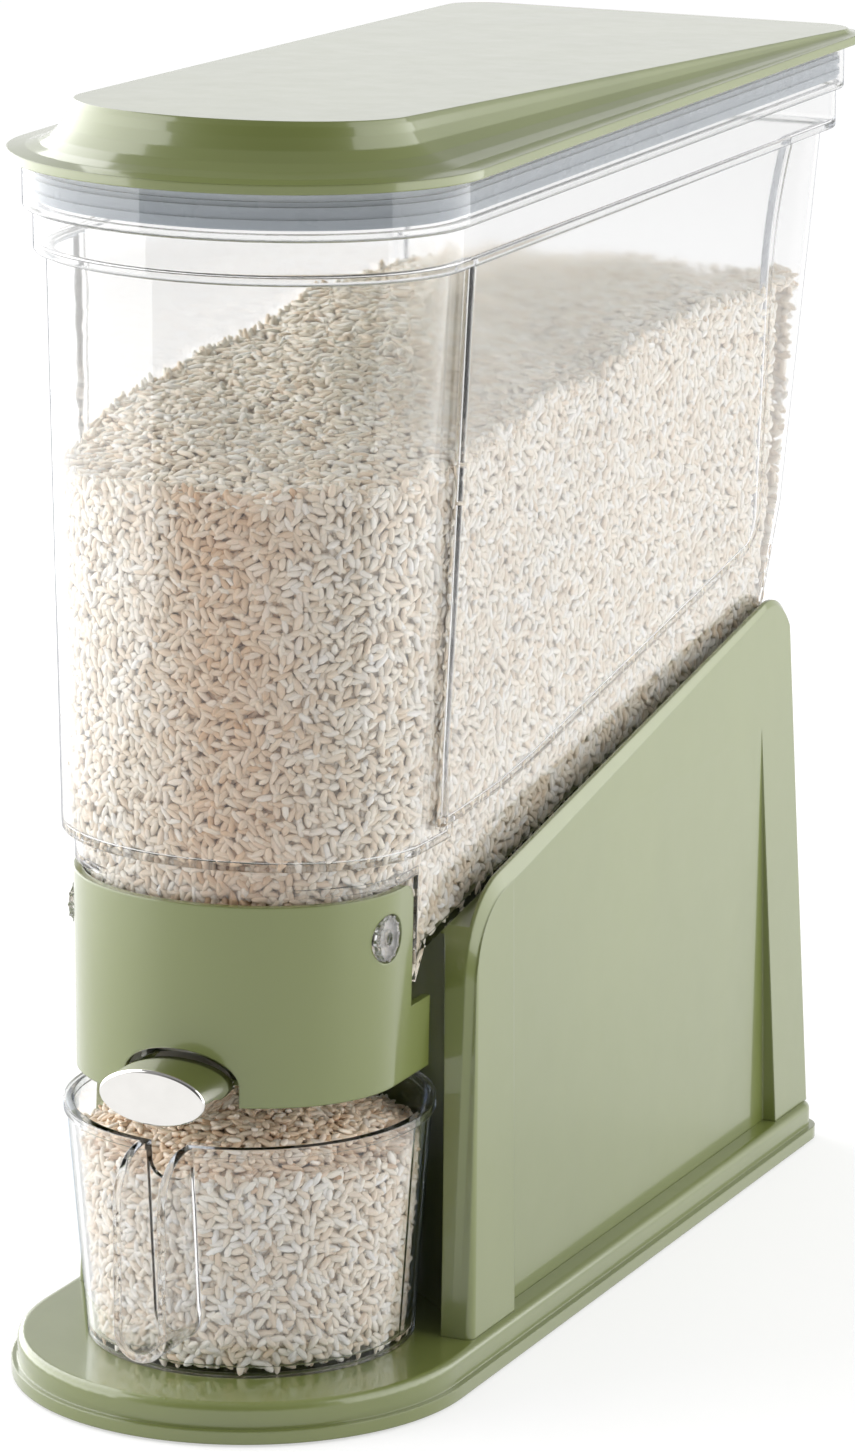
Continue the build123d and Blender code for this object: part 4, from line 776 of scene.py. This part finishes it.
def cup_bed(heap_radius):
    """A closed body of rice just inside the cup's grains, with a dome under the heap."""
    rings = 14
    dome_rings = 8
    segments = 64
    outline = []
    for ring in range(rings + 1):
        z = CUP_FLOOR_Z + 0.4 * MM + (CUP_RICE_EDGE_Z - CUP_FLOOR_Z - 2 * MM) * ring / rings
        outline.append((cup_radius(z) - BED_GAP, z))
    for ring in range(1, dome_rings):
        share = 1 - ring / dome_rings
        outline.append(((heap_radius - BED_GAP) * share, cup_rice_height(share) - BED_TOP_GAP))
    vertices = []
    for radius, z in outline:
        for k in range(segments):
            angle = 2 * pi * k / segments
            vertices.append((radius * cos(angle), CUP_CENTRE_Y + radius * sin(angle), z))
    faces = ring_faces(len(outline) - 1, segments)
    faces.append(tuple(range(segments - 1, -1, -1)))
    last = (len(outline) - 1) * segments
    faces.append(tuple(range(last, last + segments)))
    bed = mesh_object("rice_bed_in_cup", vertices, faces, RICE_BED)
    keep_numbers(bed.data, "painted_shade", [CUP_BED_PAINTED_SHADE] * len(vertices))
    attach(bed, "cup")


def rice_in_cup():
    """The heaped rice in the measuring cup, riding with it."""
    rng = np.random.default_rng(CUP_SEED)
    heap_radius = cup_radius(CUP_RICE_EDGE_Z) - WALL_GAP
    wall_spots = cup_wall_spots(rng)
    heap_spots = cup_heap_spots(rng, heap_radius)
    grain_pieces("rice_in_cup", wall_spots + heap_spots, rng, 0.3, "cup")
    cup_bed(heap_radius)


def squash_springs():
    """A dressed copy of the return springs with a mesh of its own, riding with the hopper unit in place of
    the hidden CAD springs.
    """
    source = NODES["return_springs"]
    copy = new_object("return_spring_coils", source.data.copy())
    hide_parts("return_springs")
    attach(copy, "hopper_unit")
    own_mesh(copy)


def seen_white(tree, share):
    """A factor of share for camera, mirror and see-through rays, and 0 for the rays that light the object."""
    rays = tree.nodes.new("ShaderNodeLightPath")
    seen = calculate(tree, "MAXIMUM", rays.outputs["Is Camera Ray"], rays.outputs["Is Glossy Ray"])
    seen = calculate(tree, "MAXIMUM", seen, rays.outputs["Is Transmission Ray"])
    return calculate(tree, "MULTIPLY", seen, share)


def studio_floor():
    """A pale floor that keeps a soft shadow round the object and looks white further off."""
    reach = 6.0
    corners = [(-reach, -reach, 0), (reach, -reach, 0), (reach, reach, 0), (-reach, reach, 0)]
    material, tree, shader = new_material("pale_floor")
    shader.inputs["Base Color"].default_value = (0.85, 0.85, 0.85, 1.0)
    shader.inputs["Roughness"].default_value = 0.9
    shader.inputs["Specular IOR Level"].default_value = 0.0
    away = tree.nodes.new("ShaderNodeVectorMath")
    away.operation = "LENGTH"
    tree.links.new(texture_place(tree), away.inputs[0])
    white = tree.nodes.new("ShaderNodeEmission")
    strength = spread(tree, away.outputs["Value"], 1.15, 1.46, start=0.3, end=1.5)
    tree.links.new(strength, white.inputs["Strength"])
    factor = seen_white(tree, 0.5)
    mix_shaders(tree, factor, shader.outputs["BSDF"], white.outputs["Emission"], "Material Output")
    floor = mesh_object("studio_floor", corners, [(0, 1, 2, 3)], material, smooth=False)


def studio_world():
    """Dim light all round, a little dimmer from the front, and a white backdrop for what is seen or mirrored.

    In mirrors the backdrop is darker in front and above.
    """
    world = bpy.data.worlds.new("studio")
    bpy.context.scene.world = world
    world.use_nodes = True
    tree = world.node_tree
    place = tree.nodes.new("ShaderNodeTexCoord")
    towards = tree.nodes.new("ShaderNodeVectorMath")
    towards.operation = "DOT_PRODUCT"
    front = radians(20)
    towards.inputs[1].default_value = (sin(front), -cos(front), 0.0)
    tree.links.new(place.outputs["Generated"], towards.inputs[0])
    parts = tree.nodes.new("ShaderNodeSeparateXYZ")
    tree.links.new(place.outputs["Generated"], parts.inputs["Vector"])
    frontness = towards.outputs["Value"]

    dim = tree.nodes["Background"]
    tree.links.new(spread(tree, frontness, 0.7, 0.56, start=0.3, end=0.85), dim.inputs["Strength"])

    front_dark = spread(tree, frontness, 1.0, 0.2, start=0.45, end=0.8)
    top_dark = spread(tree, parts.outputs["Z"], 1.0, 0.35, start=0.3, end=0.46)
    rays = tree.nodes.new("ShaderNodeLightPath")
    level = tree.nodes.new("ShaderNodeMix")
    level.inputs["A"].default_value = 1.0
    tree.links.new(rays.outputs["Is Glossy Ray"], level.inputs["Factor"])
    tree.links.new(calculate(tree, "MULTIPLY", front_dark, top_dark), level.inputs["B"])
    backdrop = tree.nodes.new("ShaderNodeBackground")
    for shade in (dim, backdrop):
        shade.inputs["Color"].default_value = (1, 1, 1, 1)
    tree.links.new(level.outputs["Result"], backdrop.inputs["Strength"])

    factor = seen_white(tree, 1.0)
    mix_shaders(tree, factor, dim.outputs["Background"], backdrop.outputs["Background"], "World Output")


def soft_box(name, place, aim, width, height, radiance):
    """A soft rectangular lamp that shows in reflections, but not to the camera or through clear plastic."""
    light = bpy.data.lights.new(name, "AREA")
    light.shape = "RECTANGLE"
    light.size = width
    light.size_y = height
    light.energy = radiance * pi * width * height
    lamp = new_object(name, light)
    lamp.location = place
    lamp.rotation_euler = (Vector(aim) - Vector(place)).to_track_quat("-Z", "Y").to_euler()
    lamp.visible_camera = False
    lamp.visible_transmission = False


def studio():
    """The floor, the backdrop and two wide soft boxes, one on each side."""
    scene = bpy.context.scene
    scene.view_settings.view_transform = "Standard"
    scene.cycles.max_bounces = 32
    scene.cycles.transmission_bounces = 32
    scene.cycles.glossy_bounces = 12
    scene.cycles.transparent_max_bounces = 32
    studio_floor()
    studio_world()
    soft_box("left_box", (-0.85, -0.2, 0.70), (0, -0.2, 0.70), width=2.0, height=1.4, radiance=3.0)
    soft_box("right_box", (0.95, 0.55, 0.70), (0, 0.55, 0.70), width=2.0, height=1.4, radiance=2.0)


def camera():
    """The photograph's viewpoint."""
    data = bpy.data.cameras.new("camera")
    data.sensor_fit = "VERTICAL"
    data.sensor_height = SENSOR
    data.sensor_width = SENSOR
    data.lens = FOCAL_PIXELS / FRAME_HEIGHT_PIXELS * SENSOR
    data.clip_end = 30
    thing = new_object("camera", data)
    thing.location = CAMERA_PLACE
    flat = cos(CAMERA_TILT)
    look = Vector((-sin(CAMERA_AZIMUTH) * flat, cos(CAMERA_AZIMUTH) * flat, -sin(CAMERA_TILT)))
    thing.rotation_euler = look.to_track_quat("-Z", "Y").to_euler()
    bpy.context.scene.camera = thing


dress_nodes()
rice_in_hopper()
rice_in_cup()
squash_springs()
studio()
camera()
